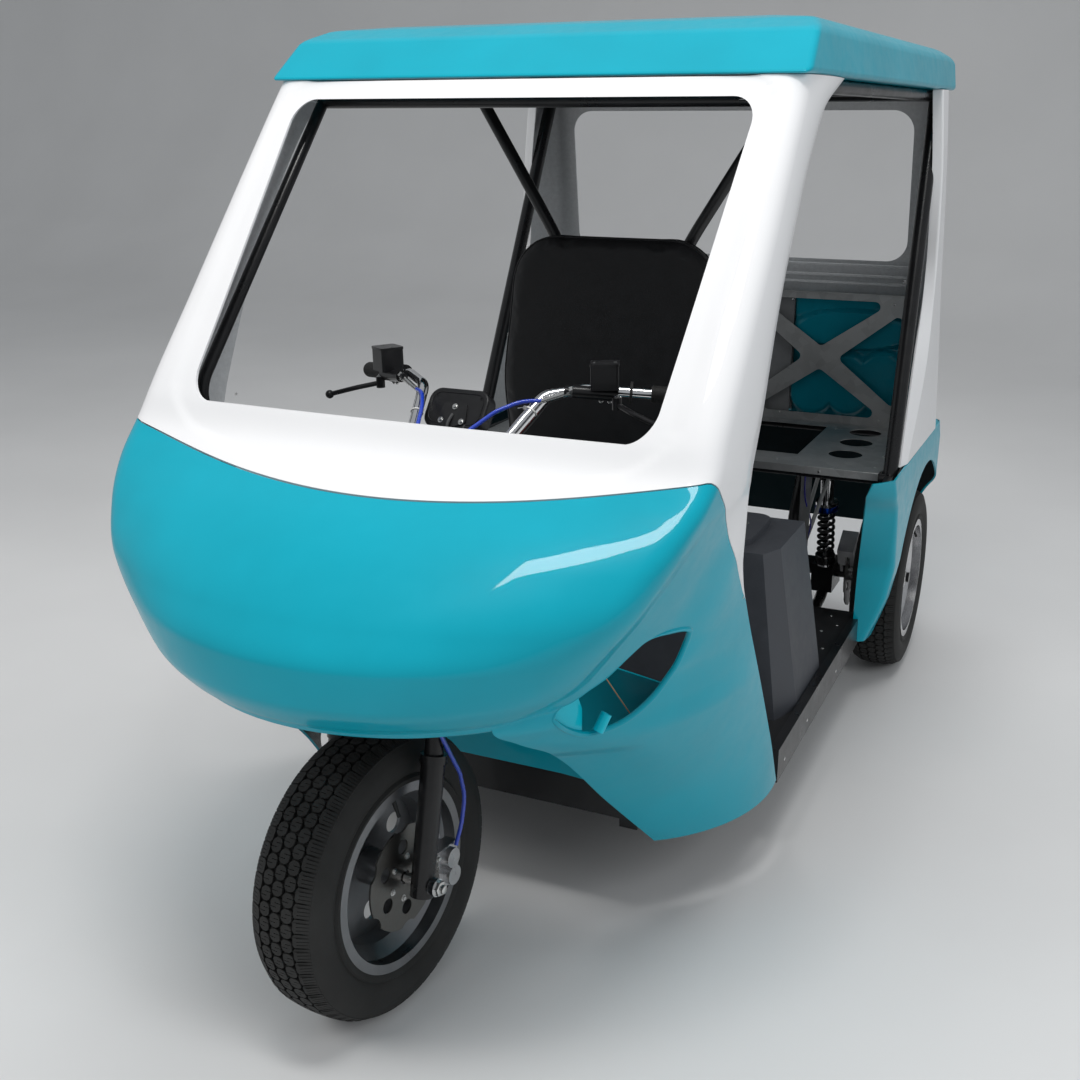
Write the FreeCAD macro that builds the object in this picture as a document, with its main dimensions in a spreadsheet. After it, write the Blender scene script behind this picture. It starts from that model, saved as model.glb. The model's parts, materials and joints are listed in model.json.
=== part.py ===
import FreeCAD, Part, Sketcher
import math
import os
import re
from FreeCAD import Placement, Rotation, Vector

# Electric auto rickshaw: three wheels, open sides, painted shells on a welded tube frame.
# It faces -Y, its left side is +X, Z is up and the origin lies on the ground at its middle.
# Stations in the tables are measured back from the front axle, heights up from the ground.

SIZES = (
    # name, millimetres or degrees
    ("wheelbase", 2045),
    ("origin_back", 1050),
    ("tyre_radius", 271.5),
    ("tyre_width", 145),
    ("rim_seat_radius", 165),
    ("rim_flange_radius", 181),
    ("rim_width", 132),
    ("rim_wall", 4),
    ("web_wall", 6),
    ("hub_radius", 34),
    ("axle_radius", 10),
    ("stub_radius", 15),
    ("running_gap", 0.3),
    ("rear_track", 1142),
    ("disc_radius", 100),
    ("disc_wall", 4),
    ("rear_disc_radius", 110),
    ("pad_gap", 5),
    ("rear_disc_inset", 116),
    ("front_disc_place", 64),
    ("front_web_place", -26),
    ("rear_web_place", 6),
    ("web_hole_radius", 20),
    ("web_hole_centre", 95),
    ("nut_radius", 17),
    ("nut_wall", 12),
    ("axle_tube_radius", 28),
    ("motor_radius", 105),
    ("motor_half", 150),
    ("rake_angle", 13),
    ("fork_offset", 30),
    ("steer_angle", 7.2),
    ("leg_spread", 108),
    ("leg_radius", 22),
    ("stanchion_radius", 18),
    ("lower_yoke_height", 640),
    ("upper_yoke_height", 880),
    ("yoke_wall", 26),
    ("stem_radius", 13),
    ("head_radius", 26),
    ("bar_radius", 11),
    ("grip_radius", 15.5),
    ("grip_length", 82),
    ("hose_radius", 4),
    ("spring_radius", 27),
    ("spring_wire", 5),
    ("spring_turns", 7),
    ("shock_x", 385),
    ("skin_wall", 5),
    ("tube_radius", 15),
    ("post_radius", 19),
    ("hoop_radius", 12.5),
    ("sill_top", 260),
    ("sill_depth", 80),
    ("sill_width", 22),
    ("floor_height", 244),
    ("floor_wall", 3),
    ("sill_front", 790),
    ("floor_half", 554),
    ("floor_front", 401.3),
    ("floor_rise", 84),
    ("floor_tail", 290),
    ("keel_half", 300),
    ("keel_width", 40),
    ("keel_front", 470),
    ("rail_radius", 20),
    ("box_station", 965),
    ("box_length", 335),
    ("box_height", 400),
    ("lid_rise", 16),
    ("cushion_wall", 80),
    ("seat_wall", 60),
    ("seat_half", 310),
    ("back_station", 165),
    ("deck_height", 700),
    ("deck_wall", 2),
    ("deck_half", 590),
    ("deck_reach", 410),
    ("deck_lip", 30),
    ("hatch_half", 340),
    ("hatch_front", 320),
    ("hatch_rear", 60),
    ("deck_hole_radius", 47),
    ("deck_hole_x", 462),
    ("panel_half", 560),
    ("panel_height", 400),
    ("panel_station", 118),
    ("roof_low", 1670),
    ("roof_flange", 60),
    ("brace_radius", 13),
)

FORMULAS = (
    # name, formula on the sizes above
    ("frame_low", "sill_top - sill_depth"),
    ("frame_tail", "wheelbase - floor_tail"),
    ("floor_under", "floor_height - floor_wall"),
    ("inner_half", "floor_half - sill_width"),
    ("box_top", "floor_height + box_height"),
    ("lid_top", "floor_height + box_height + lid_rise"),
    ("box_rear", "box_station + box_length"),
    ("deck_under", "deck_height - deck_wall"),
    ("panel_top", "deck_height + panel_height"),
    ("front_bore", "axle_radius + running_gap"),
    ("rear_bore", "stub_radius + running_gap"),
    ("rear_disc_place", "-rear_disc_inset"),
    ("rim_half", "rim_width / 2"),
    ("tyre_half", "tyre_width / 2"),
    ("bead_half", "rim_width / 2 - rim_wall - 1"),
    ("bead_radius", "rim_seat_radius + running_gap"),
    ("well_radius", "rim_seat_radius - 22"),
)


def fill_sheet(document):
    """The spreadsheet that holds the driving sizes, one alias a row."""
    table = document.addObject("Spreadsheet::Sheet", "sizes")
    formulas = [(alias, f"={formula}") for alias, formula in FORMULAS]
    for row, (alias, value) in enumerate(list(SIZES) + formulas, start=1):
        table.set(f"A{row}", alias)
        table.set(f"B{row}", str(value))
        table.setAlias(f"B{row}", alias)
    document.recompute()
    return table


doc = FreeCAD.newDocument("auto_rickshaw")
sizes = fill_sheet(doc)
subparts = []


def size(alias):
    """A driving size as a number."""
    return float(getattr(sizes, alias))


def at(x, station, height):
    """A place from its station behind the front axle."""
    return Vector(x, station - size("origin_back"), height)


def behind(x, station, height):
    """A place from its station behind the rear axle."""
    return at(x, station + size("wheelbase"), height)


def add(item, label):
    """Name a finished object as a sub-part."""
    item.Label = label
    subparts.append(item)
    return item


def feature(label, shape, placement=None):
    """A sub-part whose shape is worked out here from the sheet's sizes."""
    item = doc.addObject("Part::Feature", label)
    item.Shape = shape
    if placement is not None:
        item.Placement = placement
    return add(item, label)


NAMES = [row[0] for row in SIZES + FORMULAS]


def rule(text):
    """An expression on the sheet, from a formula written with the plain names of the sizes."""
    return re.sub(r"[a-z]\w*", lambda word: f"sizes.{word[0]}" if word[0] in NAMES else word[0], text)


def bind(item, **formulas):
    """Tie an item's properties, or x, y and z of its place, to formulas on the sizes."""
    for name, text in formulas.items():
        target = f".Placement.Base.{name}" if name in ("x", "y", "z") else name
        item.setExpression(target, rule(text))
    return item


def box(name, across, along, up):
    """A Part box between two x formulas, two stations and two heights."""
    item = doc.addObject("Part::Box", name)
    return bind(item, x=across[0], Length=f"({across[1]}) - ({across[0]})",
                y=f"{along[0]} - origin_back", Width=f"({along[1]}) - ({along[0]})",
                z=up[0], Height=f"({up[1]}) - ({up[0]})")


def cross_bar(name, radius, across, station, height):
    """A Part cylinder along X between two x formulas."""
    item = doc.addObject("Part::Cylinder", name)
    item.Placement = Placement(Vector(0, 0, 0), Rotation(Vector(0, 1, 0), 90))
    return bind(item, Radius=radius, x=across[0], Height=f"({across[1]}) - ({across[0]})",
                y=f"{station} - origin_back", z=height)


def upright(name, radius, length, place, turn=Rotation()):
    """A Part cylinder from a place, along the direction that the turn gives the Z axis."""
    item = doc.addObject("Part::Cylinder", name)
    item.Placement = Placement(place, turn)
    return bind(item, Radius=radius, Height=length)


def fused(name, items):
    item = doc.addObject("Part::MultiFuse", name)
    item.Shapes = items
    item.Refine = True
    return item


def cut_by(name, base, tool):
    item = doc.addObject("Part::Cut", name)
    item.Base = base
    item.Tool = tool
    item.Refine = True
    return item


def grouped(name, items):
    item = doc.addObject("Part::Compound", name)
    item.Links = items
    return item


def softened(name, base, radius):
    """All edges of a Part box rounded by one radius."""
    item = doc.addObject("Part::Fillet", name)
    item.Base = base
    item.Edges = [(edge, radius, radius) for edge in range(1, 13)]
    return item


def twin(source):
    """The mirror image of an object across the middle plane."""
    item = doc.addObject("Part::Mirroring", f"{source.Name}_twin")
    item.Source = source
    item.Normal = Vector(1, 0, 0)
    return item


def origin_plane(body, role):
    return [item for item in body.Origin.OriginFeatures if item.Role == role][0]


def sketch_on(body, name, role, lift="0"):
    """An empty sketch on one of the body's own planes, lifted off it by a formula."""
    sketch = body.newObject("Sketcher::SketchObject", name)
    sketch.AttachmentSupport = [(origin_plane(body, role), "")]
    sketch.MapMode = "FlatFace"
    sketch.setExpression("AttachmentOffset.Base.z", rule(lift))
    return sketch


def draw_loop(sketch, corners):
    """A closed outline of straight lines whose corners are tied to pairs of formulas."""
    first = sketch.GeometryCount
    count = len(corners)
    spots = [Vector(math.cos(math.tau * i / count), math.sin(math.tau * i / count), 0) * 100
             for i in range(count)]
    for i in range(count):
        sketch.addGeometry(Part.LineSegment(spots[i], spots[(i + 1) % count]))
    for i in range(count):
        sketch.addConstraint(Sketcher.Constraint("Coincident", first + i, 2,
                                                 first + (i + 1) % count, 1))
    for i, (across, along) in enumerate(corners):
        for kind, text in (("DistanceX", across), ("DistanceY", along)):
            index = sketch.addConstraint(Sketcher.Constraint(kind, first + i, 1, 1.0))
            sketch.setExpression(f"Constraints[{index}]", rule(text))


def draw_circle(sketch, across, along, radius):
    """A circle whose centre and radius are tied to formulas."""
    circle = sketch.addGeometry(Part.Circle(Vector(50, 50, 0), Vector(0, 0, 1), 10))
    rules = (Sketcher.Constraint("DistanceX", circle, 3, 50), Sketcher.Constraint("DistanceY", circle, 3, 50),
             Sketcher.Constraint("Radius", circle, 10))
    for constraint, text in zip(rules, (across, along, radius)):
        index = sketch.addConstraint(constraint)
        sketch.setExpression(f"Constraints[{index}]", rule(text))


def padded(body, name, sketch, length):
    """A pad of the sketch by a formula."""
    item = body.newObject("PartDesign::Pad", name)
    item.Profile = sketch
    item.setExpression("Length", rule(length))
    return item


def holes_round(body, name, centre, radius, copies=6):
    """A round hole right through, repeated about the X axis."""
    circle = sketch_on(body, name, "YZ_Plane")
    draw_circle(circle, "0", centre, radius)
    pocket = body.newObject("PartDesign::Pocket", f"{name}_pocket")
    pocket.Profile = circle
    pocket.Type = "ThroughAll"
    pocket.Midplane = True
    pattern = body.newObject("PartDesign::PolarPattern", f"{name}_round")
    pattern.Originals = [pocket]
    pattern.Axis = (circle, ["N_Axis"])
    pattern.Angle = 360
    pattern.Occurrences = copies
    body.Tip = pattern


def fuse(shapes):
    """One shape from pieces that are welded or moulded together."""
    return shapes[0].multiFuse(list(shapes[1:])).removeSplitter()


def both_sides(shape):
    """A shape and its mirror image across the middle plane."""
    return [shape, shape.mirror(Vector(0, 0, 0), Vector(1, 0, 0))]


def rod(start, end, radius):
    """A straight round bar between two places."""
    run = end - start
    return Part.makeCylinder(radius, run.Length, start, run)


def block(low, high):
    """A box between two opposite corners, given in any order."""
    base = Vector(min(low.x, high.x), min(low.y, high.y), min(low.z, high.z))
    span = high - low
    return Part.makeBox(abs(span.x), abs(span.y), abs(span.z), base)


def prism(points, direction):
    """A closed outline of straight edges, pushed out along a direction."""
    face = Part.Face(Part.makePolygon(list(points) + [points[0]]))
    return face.extrude(direction)


def bent_path(points, bend):
    """Straight runs through the points, joined by tangent arcs."""
    edges = []
    start = points[0]
    for before, corner, after in zip(points, points[1:], points[2:]):
        to_corner = (corner - before).normalize()
        from_corner = (after - corner).normalize()
        turn = to_corner.getAngle(from_corner)
        if turn < math.radians(1):
            continue
        room = 0.48 * min((corner - before).Length, (after - corner).Length)
        reach = min(bend * math.tan(turn / 2), room)
        radius = reach / math.tan(turn / 2)
        first = corner - to_corner * reach
        last = corner + from_corner * reach
        inward = (from_corner - to_corner).normalize()
        middle = corner + inward * (radius / math.cos(turn / 2) - radius)
        edges.append(Part.LineSegment(start, first).toShape())
        edges.append(Part.Arc(first, middle, last).toShape())
        start = last
    edges.append(Part.LineSegment(start, points[-1]).toShape())
    return Part.Wire(edges)


def pipe(points, radius, bend):
    """A bent round tube along a path."""
    path = bent_path(points, bend)
    ring = Part.Circle(points[0], points[1] - points[0], radius).toShape()
    return path.makePipeShell([Part.Wire([ring])], True, False)


def ring_arc(first, middle, last):
    return Part.Arc(first, middle, last).toShape()


def line(first, last):
    return Part.LineSegment(first, last).toShape()


def level(points, height, station=at):
    return [station(x, y, height) for x, y in points]


# Front shell: level sections from the lip of the nose up to the roof
FRONT_SECTIONS = (
    # height, nose station, crease x and station, side x and station, door edge x and station, wall
    (668, -236, 300, -116, 452, 104, 560, 465, 6),
    (690, -262, 335, -112, 462, 95, 560, 451, 6),
    (731, -286, 389, -106, 480, 85, 561, 423, 6),
    (790, -284, 438, -97, 510, 70, 563, 384, 6),
    (849, -240, 486, -81, 535, 60, 565, 366, 8),
    (926, -143, 535, -26, 562, 100, 568, 366, 11),
    (965, -80, 556, 12, 572, 130, 570, 366, 12),
    (1003, -2, 572, 55, 581, 165, 572, 369, 13),
    (1049, 90, 581, 108, 585, 200, 574, 385, 10),
    (1098, 128, 576, 142, 585, 230, 575, 408, 8),
    (1256, 261, 571, 275, 582, 350, 573, 485, 7),
    (1393, 377, 568, 391, 579, 455, 571, 571, 7),
    (1550, 509, 564, 523, 575, 590, 569, 696, 7),
    (1615, 564, 562, 578, 574, 650, 569, 770, 7),
    (1670, 610, 560, 624, 573, 720, 569, 927, 7),
)

# Leg shields: level sections from the lip of the nose down to the floor
LEG_SECTIONS = (
    # height, arch edge x and station, middle x and station, door edge x and station
    (668, 300, -116, 452, 104, 560, 465),
    (612, 312, -45, 471, 176, 560, 503),
    (556, 331, 45, 490, 240, 560, 541),
    (356, 351, 266, 486, 430, 559, 674),
    (190, 392, 430, 500, 548, 553, 785),
)


def front_section(row):
    """One closed level loop of the front shell: outer skin, then back along the inner."""
    height, nose, crease_x, crease_y, side_x, side_y, edge_x, edge_y, wall = row
    face = level(((-crease_x, crease_y), (0, nose), (crease_x, crease_y)), height)
    side = level(((crease_x, crease_y), (side_x, side_y), (edge_x, edge_y)), height)
    other = level(((-edge_x, edge_y), (-side_x, side_y), (-crease_x, crease_y)), height)
    thin = size("skin_wall")
    in_crease = crease_x - thin * 1.2
    in_crease_y = crease_y + wall
    in_face = level(((in_crease, in_crease_y), (0, nose + wall), (-in_crease, in_crease_y)), height)
    in_side = level(((edge_x - thin, edge_y), (side_x - thin, side_y + 1), (in_crease, in_crease_y)),
                    height)
    in_other = level(((-in_crease, in_crease_y), (-side_x + thin, side_y + 1),
                      (-edge_x + thin, edge_y)), height)
    return Part.Wire([
        ring_arc(*other), ring_arc(*face), ring_arc(*side),
        line(side[-1], in_side[0]),
        ring_arc(*in_side), ring_arc(*in_face), ring_arc(*in_other),
        line(in_other[-1], other[0]),
    ])


def leg_section(row):
    """One closed level loop of the left leg shield."""
    height, arch_x, arch_y, mid_x, mid_y, edge_x, edge_y = row
    thin = size("skin_wall")
    outer = level(((arch_x, arch_y), (mid_x, mid_y), (edge_x, edge_y)), height)
    inner = level(((edge_x - thin, edge_y), (mid_x - thin, mid_y + thin),
                   (arch_x - thin * 1.2, arch_y + thin * 1.2)), height)
    return Part.Wire([ring_arc(*outer), line(outer[-1], inner[0]),
                      ring_arc(*inner), line(inner[-1], outer[0])])


def front_skin():
    return Part.makeLoft([front_section(row) for row in FRONT_SECTIONS], True, True)


def leg_skins():
    left = Part.makeLoft([leg_section(row) for row in LEG_SECTIONS], True, True)
    return both_sides(left)


def paint_split():
    """The block above the line where the white shell meets the nose: a bow seen from the front,
    then a falling line along each side."""
    corner = (584, 1050)
    reach = 800
    front = [Vector(-corner[0], -1400, corner[1]), Vector(0, -1400, 995),
             Vector(corner[0], -1400, corner[1])]
    wire = Part.Wire([ring_arc(*front), line(front[2], Vector(reach, -1400, corner[1])),
                      line(Vector(reach, -1400, corner[1]), Vector(reach, -1400, 2000)),
                      line(Vector(reach, -1400, 2000), Vector(-reach, -1400, 2000)),
                      line(Vector(-reach, -1400, 2000), Vector(-reach, -1400, corner[1])),
                      line(Vector(-reach, -1400, corner[1]), front[0])])
    ahead = Part.Face(wire).extrude(Vector(0, 1400 - size("origin_back") + 114, 0))
    side = ((114, 1050), (240, 940), (405, 750), (900, 700), (1200, 2000), (114, 2000))
    beside = prism([at(-reach, y, z) for y, z in side], Vector(2 * reach, 0, 0))
    return fuse([ahead, beside])


def windscreen_cut():
    """The rounded opening of the windscreen, seen from the front."""
    corners = ((-463.5, 1098), (-491, 1632), (491, 1632), (463.5, 1098))
    points = [Vector(x, -1400, z) for x, z in corners]
    bow = Vector(0, -1400, 1049)
    sides = [line(points[0], points[1]), line(points[1], points[2]), line(points[2], points[3])]
    wire = Part.Wire(sides + [ring_arc(points[3], bow, points[0])])
    solid = Part.Face(wire).extrude(Vector(0, 1400, 0))
    upright = [edge for edge in solid.Edges
               if edge.Length > 1399 and abs(edge.tangentAt(edge.FirstParameter).y) > 0.99]
    return solid.makeFillet(45, upright)


EYE_CORNERS = {
    # name: distance across the slanted plane, height
    "heel_top": (2, 690),
    "heel": (-14, 668),
    "heel_low": (4, 636),
    "low": (110, 584),
    "tip_low": (246, 700),
    "tip": (258, 758),
    "tip_top": (216, 788),
    "brow": (150, 798),
    "brow_end": (104, 771),
}


def eye_cut():
    """The leaf-shaped opening of the left headlamp, pushed through the skin."""
    across = Vector(1, 1, 0).normalize()
    back = Vector(-60, 60, 0)
    spots = {}
    for name, (reach, height) in EYE_CORNERS.items():
        spots[name] = at(355, 0, height) + across * reach - back
    wire = Part.Wire([ring_arc(spots["heel_top"], spots["heel"], spots["heel_low"]),
                      ring_arc(spots["heel_low"], spots["low"], spots["tip_low"]),
                      ring_arc(spots["tip_low"], spots["tip"], spots["tip_top"]),
                      ring_arc(spots["tip_top"], spots["brow"], spots["brow_end"]),
                      line(spots["brow_end"], spots["heel_top"])])
    return Part.Face(wire).extrude(back * 2)


front = front_skin()
split = paint_split()
eyes = both_sides(eye_cut())
white_front = front.common(split).cut(windscreen_cut())
nose = fuse([front.cut(split)] + leg_skins()).cut(eyes[0]).cut(eyes[1])
feature("windscreen_frame", white_front)
feature("nose_shell", nose)


# Wheel arch wall behind the front wheel, and the floor
def arch_wall():
    """A bent wall from one leg shield round behind the wheel to the other."""
    sections = ((318, 396, 440, 372), (620, 330, 508, 250))
    loops = []
    thin = size("skin_wall")
    for height, middle, corner_x, end_y in sections:
        outer = level(((-corner_x, end_y), (-corner_x * 0.45, middle),
                       (corner_x * 0.45, middle), (corner_x, end_y)), height)
        inner = [point + Vector(0, thin, 0) for point in reversed(outer)]
        loops.append(Part.makePolygon(outer + inner + [outer[0]]))
    return Part.makeLoft(loops, True, True)


def largest(shape):
    return max(shape.Solids, key=lambda solid: solid.Volume)


arch = largest(arch_wall().cut(nose))
feature("arch_wall", arch)


def floor_sheet():
    """Black sheet between the sills, turned up at its front behind the arch wall."""
    body = doc.addObject("PartDesign::Body", "floor_pan")
    flat = sketch_on(body, "floor_outline", "XY_Plane", "floor_under")
    half = (("floor_front", "352"), ("floor_front + 46", "400"), ("620", "514"),
            ("sill_front", "inner_half"), ("frame_tail", "inner_half"))
    corners = [(x, f"{station} - origin_back") for station, x in half]
    corners += [(f"-({x})", station) for x, station in reversed(corners)]
    draw_loop(flat, corners)
    padded(body, "floor_flat", flat, "floor_wall")
    front_edge = sketch_on(body, "upturn_outline", "XY_Plane", "floor_under")
    near = "floor_front - origin_back"
    draw_loop(front_edge, [("-352", near), ("352", near), ("352", f"{near} + floor_wall"),
                           ("-352", f"{near} + floor_wall")])
    padded(body, "floor_upturn", front_edge, "floor_rise + floor_wall")
    return add(body, "floor_pan")


floor_pan = floor_sheet()
height_pair = ("frame_low", "sill_top")
sill = box("sill", ("inner_half", "floor_half"), ("sill_front", "frame_tail"), height_pair)
keel = box("keel", ("keel_half", "keel_half + keel_width"), ("keel_front", "frame_tail"),
           ("frame_low", "floor_under"))
sill_pair = add(grouped("sill_pair", [sill, twin(sill)]), "sills")
keel_pair = add(grouped("keel_pair", [keel, twin(keel)]), "keels")
MEMBERS = (
    # station, half length
    ("640", "500"),
    ("1130", "inner_half"),
    ("frame_tail - 40", "inner_half"),
)
member_bars = []
for number, (station, reach) in enumerate(MEMBERS, start=1):
    member_bars.append(box(f"member_{number}", (f"-{reach}", reach), (station, f"{station} + 40"),
                           ("frame_low", "floor_under")))
member_set = cut_by("member_set", grouped("member_bars", member_bars), keel_pair)
add(member_set, "cross_members")
doc.recompute()


def rear_rail(side):
    """A rail that climbs from the floor's rear end over the axle, with its shock bracket."""
    foot = size("frame_tail")
    x = side * (size("keel_half") + size("keel_width") / 2)
    high = size("deck_under") - 2 * size("tube_radius") - 22
    climb = pipe([at(x, foot + 20, 200), at(x, foot + 75, 480), behind(x, -130, high - 30),
                  behind(x, 160, high)], size("rail_radius"), 60)
    plate = block(behind(x - 20 * side, -150, high - 60), behind(x + 85 * side, -75, high - 10))
    lug = block(at(x - 20, foot, 185), at(x + 20, foot + 25, 235))
    return fuse([climb, plate, lug])


rear_rails = Part.makeCompound([rear_rail(1), rear_rail(-1)])
feature("rear_rails", rear_rails)
floor = floor_pan.Shape
members = member_set.Shape
frame = Part.makeCompound([sill_pair.Shape, keel_pair.Shape, rear_rails])

# Roof cap
ROOF_SECTIONS = (
    # height, front station, front half width, rear station behind the rear axle, rear half width
    (1670, 610, 575, 145, 616),
    (1752, 712, 563, 175, 602),
    (1776, 790, 535, 70, 566),
    (1788, 900, 430, -100, 460),
)


def roof_loop(row, inset):
    height, front_y, front_x, rear_y, rear_x = row
    points = [at(-front_x + inset, front_y + inset * 1.5, height - inset),
              at(front_x - inset, front_y + inset * 1.5, height - inset),
              behind(rear_x - inset, rear_y - inset * 1.5, height - inset),
              behind(-rear_x + inset, rear_y - inset * 1.5, height - inset)]
    return Part.makePolygon(points + [points[0]])


def flange():
    """The returned edge under the cap, which the shells and rails carry."""
    height, front_y, front_x, rear_y, rear_x = ROOF_SECTIONS[0]
    back = size("roof_flange")
    outer = [at(-front_x, front_y, height), at(front_x, front_y, height),
             behind(rear_x, rear_y, height), behind(-rear_x, rear_y, height)]
    inner = [at(-front_x + back, front_y + back, height), at(front_x - back, front_y + back, height),
             behind(rear_x - back, rear_y - back, height),
             behind(-rear_x + back, rear_y - back, height)]
    push = Vector(0, 0, size("skin_wall"))
    return prism(outer, push).cut(prism(inner, push))


def roof():
    wall = size("skin_wall")
    outer = Part.makeLoft([roof_loop(row, 0) for row in ROOF_SECTIONS], True, True)
    inner = Part.makeLoft([roof_loop(row, wall) for row in ROOF_SECTIONS], True, True)
    return fuse([outer.cut(inner), flange()])


feature("roof_cap", roof())

# Rear shells: level sections, stations behind the rear axle
REAR_UPPER = (
    # height, flange x and station, front edge x and station, corner x and station, wall station, half
    (1670, 582, -62, 610, -62, 612, 40, 70, 575),
    (1446, 600, -65, 628, -60, 624, 54, 105, 582),
    (1260, 605, -58, 634, -62, 631, 66, 134, 588),
    (1130, 610, -93, 638, -82, 635, 74, 154, 591),
    (943, 620, -222, 644, -155, 643, 98, 182, 596),
    (710, 634, -395, 645, -350, 650, 130, 215, 600),
)
REAR_LOWER = (
    # height, inner front x and station, outer front x and station, side x and station, rear
    (190, 540, -380, 628, -350, 645, 200, 355),
    (420, 545, -400, 640, -380, 652, 250, 355),
    (666, 580, -550, 648, -470, 652, 260, 345),
    (710, 600, -562, 645, -495, 648, 250, 335),
)


def rear_loop(points, wall):
    """A closed level loop: the right edge round the back to the left, then back inside."""
    outer = [Vector(-p.x, p.y, p.z) for p in points] + list(reversed(points))
    inner = []
    for index, point in enumerate(reversed(outer)):
        inner.append(Vector(point.x - math.copysign(wall, point.x), point.y, point.z))
    back = max(point.y for point in outer)
    inner = [Vector(p.x, p.y - wall if p.y > back - 1 else p.y, p.z) for p in inner]
    return Part.makePolygon(outer + inner + [outer[0]])


def post_ends():
    """The left post's top under the roof rail and its foot on the deck's side tube."""
    under = size("deck_under") - size("tube_radius")
    return behind(579, 38, size("roof_low") - 20), behind(612, -415, under)


def edge_flange():
    """The turned-in front edge of the left side wall."""
    loops = []
    push = Vector(0, size("skin_wall"), 0)
    for height, in_x, in_y, edge_x, edge_y, *rest in REAR_UPPER:
        near = [behind(in_x, in_y, height), behind(edge_x, edge_y, height)]
        loops.append(Part.makePolygon(near + [near[1] + push, near[0] + push, near[0]]))
    return Part.makeLoft(loops, True, True)


def rear_upper():
    """Side walls with turned-in front edges, the rear wall and its window, ledge below it."""
    loops = []
    wall = size("skin_wall")
    for height, in_x, in_y, edge_x, edge_y, corner_x, corner_y, back, back_x in REAR_UPPER:
        points = [behind(edge_x, edge_y, height), behind(corner_x, corner_y, height),
                  behind(back_x, back, height)]
        loops.append(rear_loop(points, wall))
    shell = Part.makeLoft(loops, True, True)
    window = block(behind(-520, -100, 1194), behind(520, 300, 1618))
    corners = [edge for edge in window.Edges if abs(edge.tangentAt(edge.FirstParameter).y) > 0.99]
    window = window.makeFillet(60, corners)
    ledge = prism([behind(-560, 122, 1124), behind(-560, 152, 1124), behind(-560, 143, 1184),
                   behind(-560, 122, 1184)], Vector(1120, 0, 0))
    body = fuse([shell.cut(window), ledge] + both_sides(edge_flange()))
    for post in both_sides(rod(*post_ends(), size("post_radius") + size("running_gap"))):
        body = body.cut(post)
    return largest(body)


def rear_lower():
    """Tail and fenders in one moulding, with round wheel openings and a shelf behind the wall."""
    loops = []
    wall = size("skin_wall")
    for height, in_x, in_y, out_x, out_y, side_x, side_y, back in REAR_LOWER:
        points = [behind(in_x, in_y, height), behind(out_x, out_y, height),
                  behind(side_x, side_y, height), behind(side_x - 90, back, height)]
        loops.append(rear_loop(points, wall))
    shell = Part.makeLoft(loops, True, True)
    opening = Part.makeCylinder(335, 1600, behind(-800, 10, 295), Vector(1, 0, 0))
    below = block(behind(-800, -200, 0), behind(800, 500, 330))
    top, side_y, back = REAR_LOWER[-1][0], REAR_LOWER[-1][6], REAR_LOWER[-1][7]
    outline = ((-596, 212), (596, 212), (644, side_y - 60), (644, side_y), (556, back - 2))
    outline += tuple((-x, y) for x, y in reversed(outline[2:]))
    shelf = prism([behind(x, y, top - wall) for x, y in outline], Vector(0, 0, wall))
    body = fuse([shell.cut(opening).cut(below), shelf])
    return largest(body.cut(frame).cut(posts))


feature("rear_upper_shell", rear_upper())


# Wheels: profiles of formulas (x, radius), turned about the X axis
TYRE_OUTER = (
    ("bead_half", "bead_radius"),
    ("bead_half", "rim_flange_radius + 2"),
    ("tyre_half - 3", "tyre_radius - 75"),
    ("tyre_half", "tyre_radius - 45"),
    ("tyre_half - 6", "tyre_radius - 14"),
    ("tyre_half - 18", "tyre_radius - 3"),
)
TYRE_INNER = (
    ("bead_half - 12", "bead_radius"),
    ("tyre_half - 14", "tyre_radius - 60"),
    ("tyre_half - 24", "tyre_radius - 16"),
)


def mirrored_corners(corners):
    return [(f"-({across})", along) for across, along in reversed(corners)]


def turned_body(name, corners):
    """A body turned about the X axis from a closed profile."""
    body = doc.addObject("PartDesign::Body", name)
    profile = sketch_on(body, f"{name}_profile", "XZ_Plane")
    draw_loop(profile, corners)
    turned = body.newObject("PartDesign::Revolution", f"{name}_turned")
    turned.Profile = profile
    turned.ReferenceAxis = (profile, ["H_Axis"])
    turned.Angle = 360
    return body


def tyre(name):
    """A hollow tyre, seated on its rim by the running gap."""
    outer = list(TYRE_OUTER)
    inner = list(TYRE_INNER)
    crown = [("0", "tyre_radius")]
    return turned_body(name, outer + crown + mirrored_corners(outer)
                       + list(reversed(mirrored_corners(inner))) + list(reversed(inner)))


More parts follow.
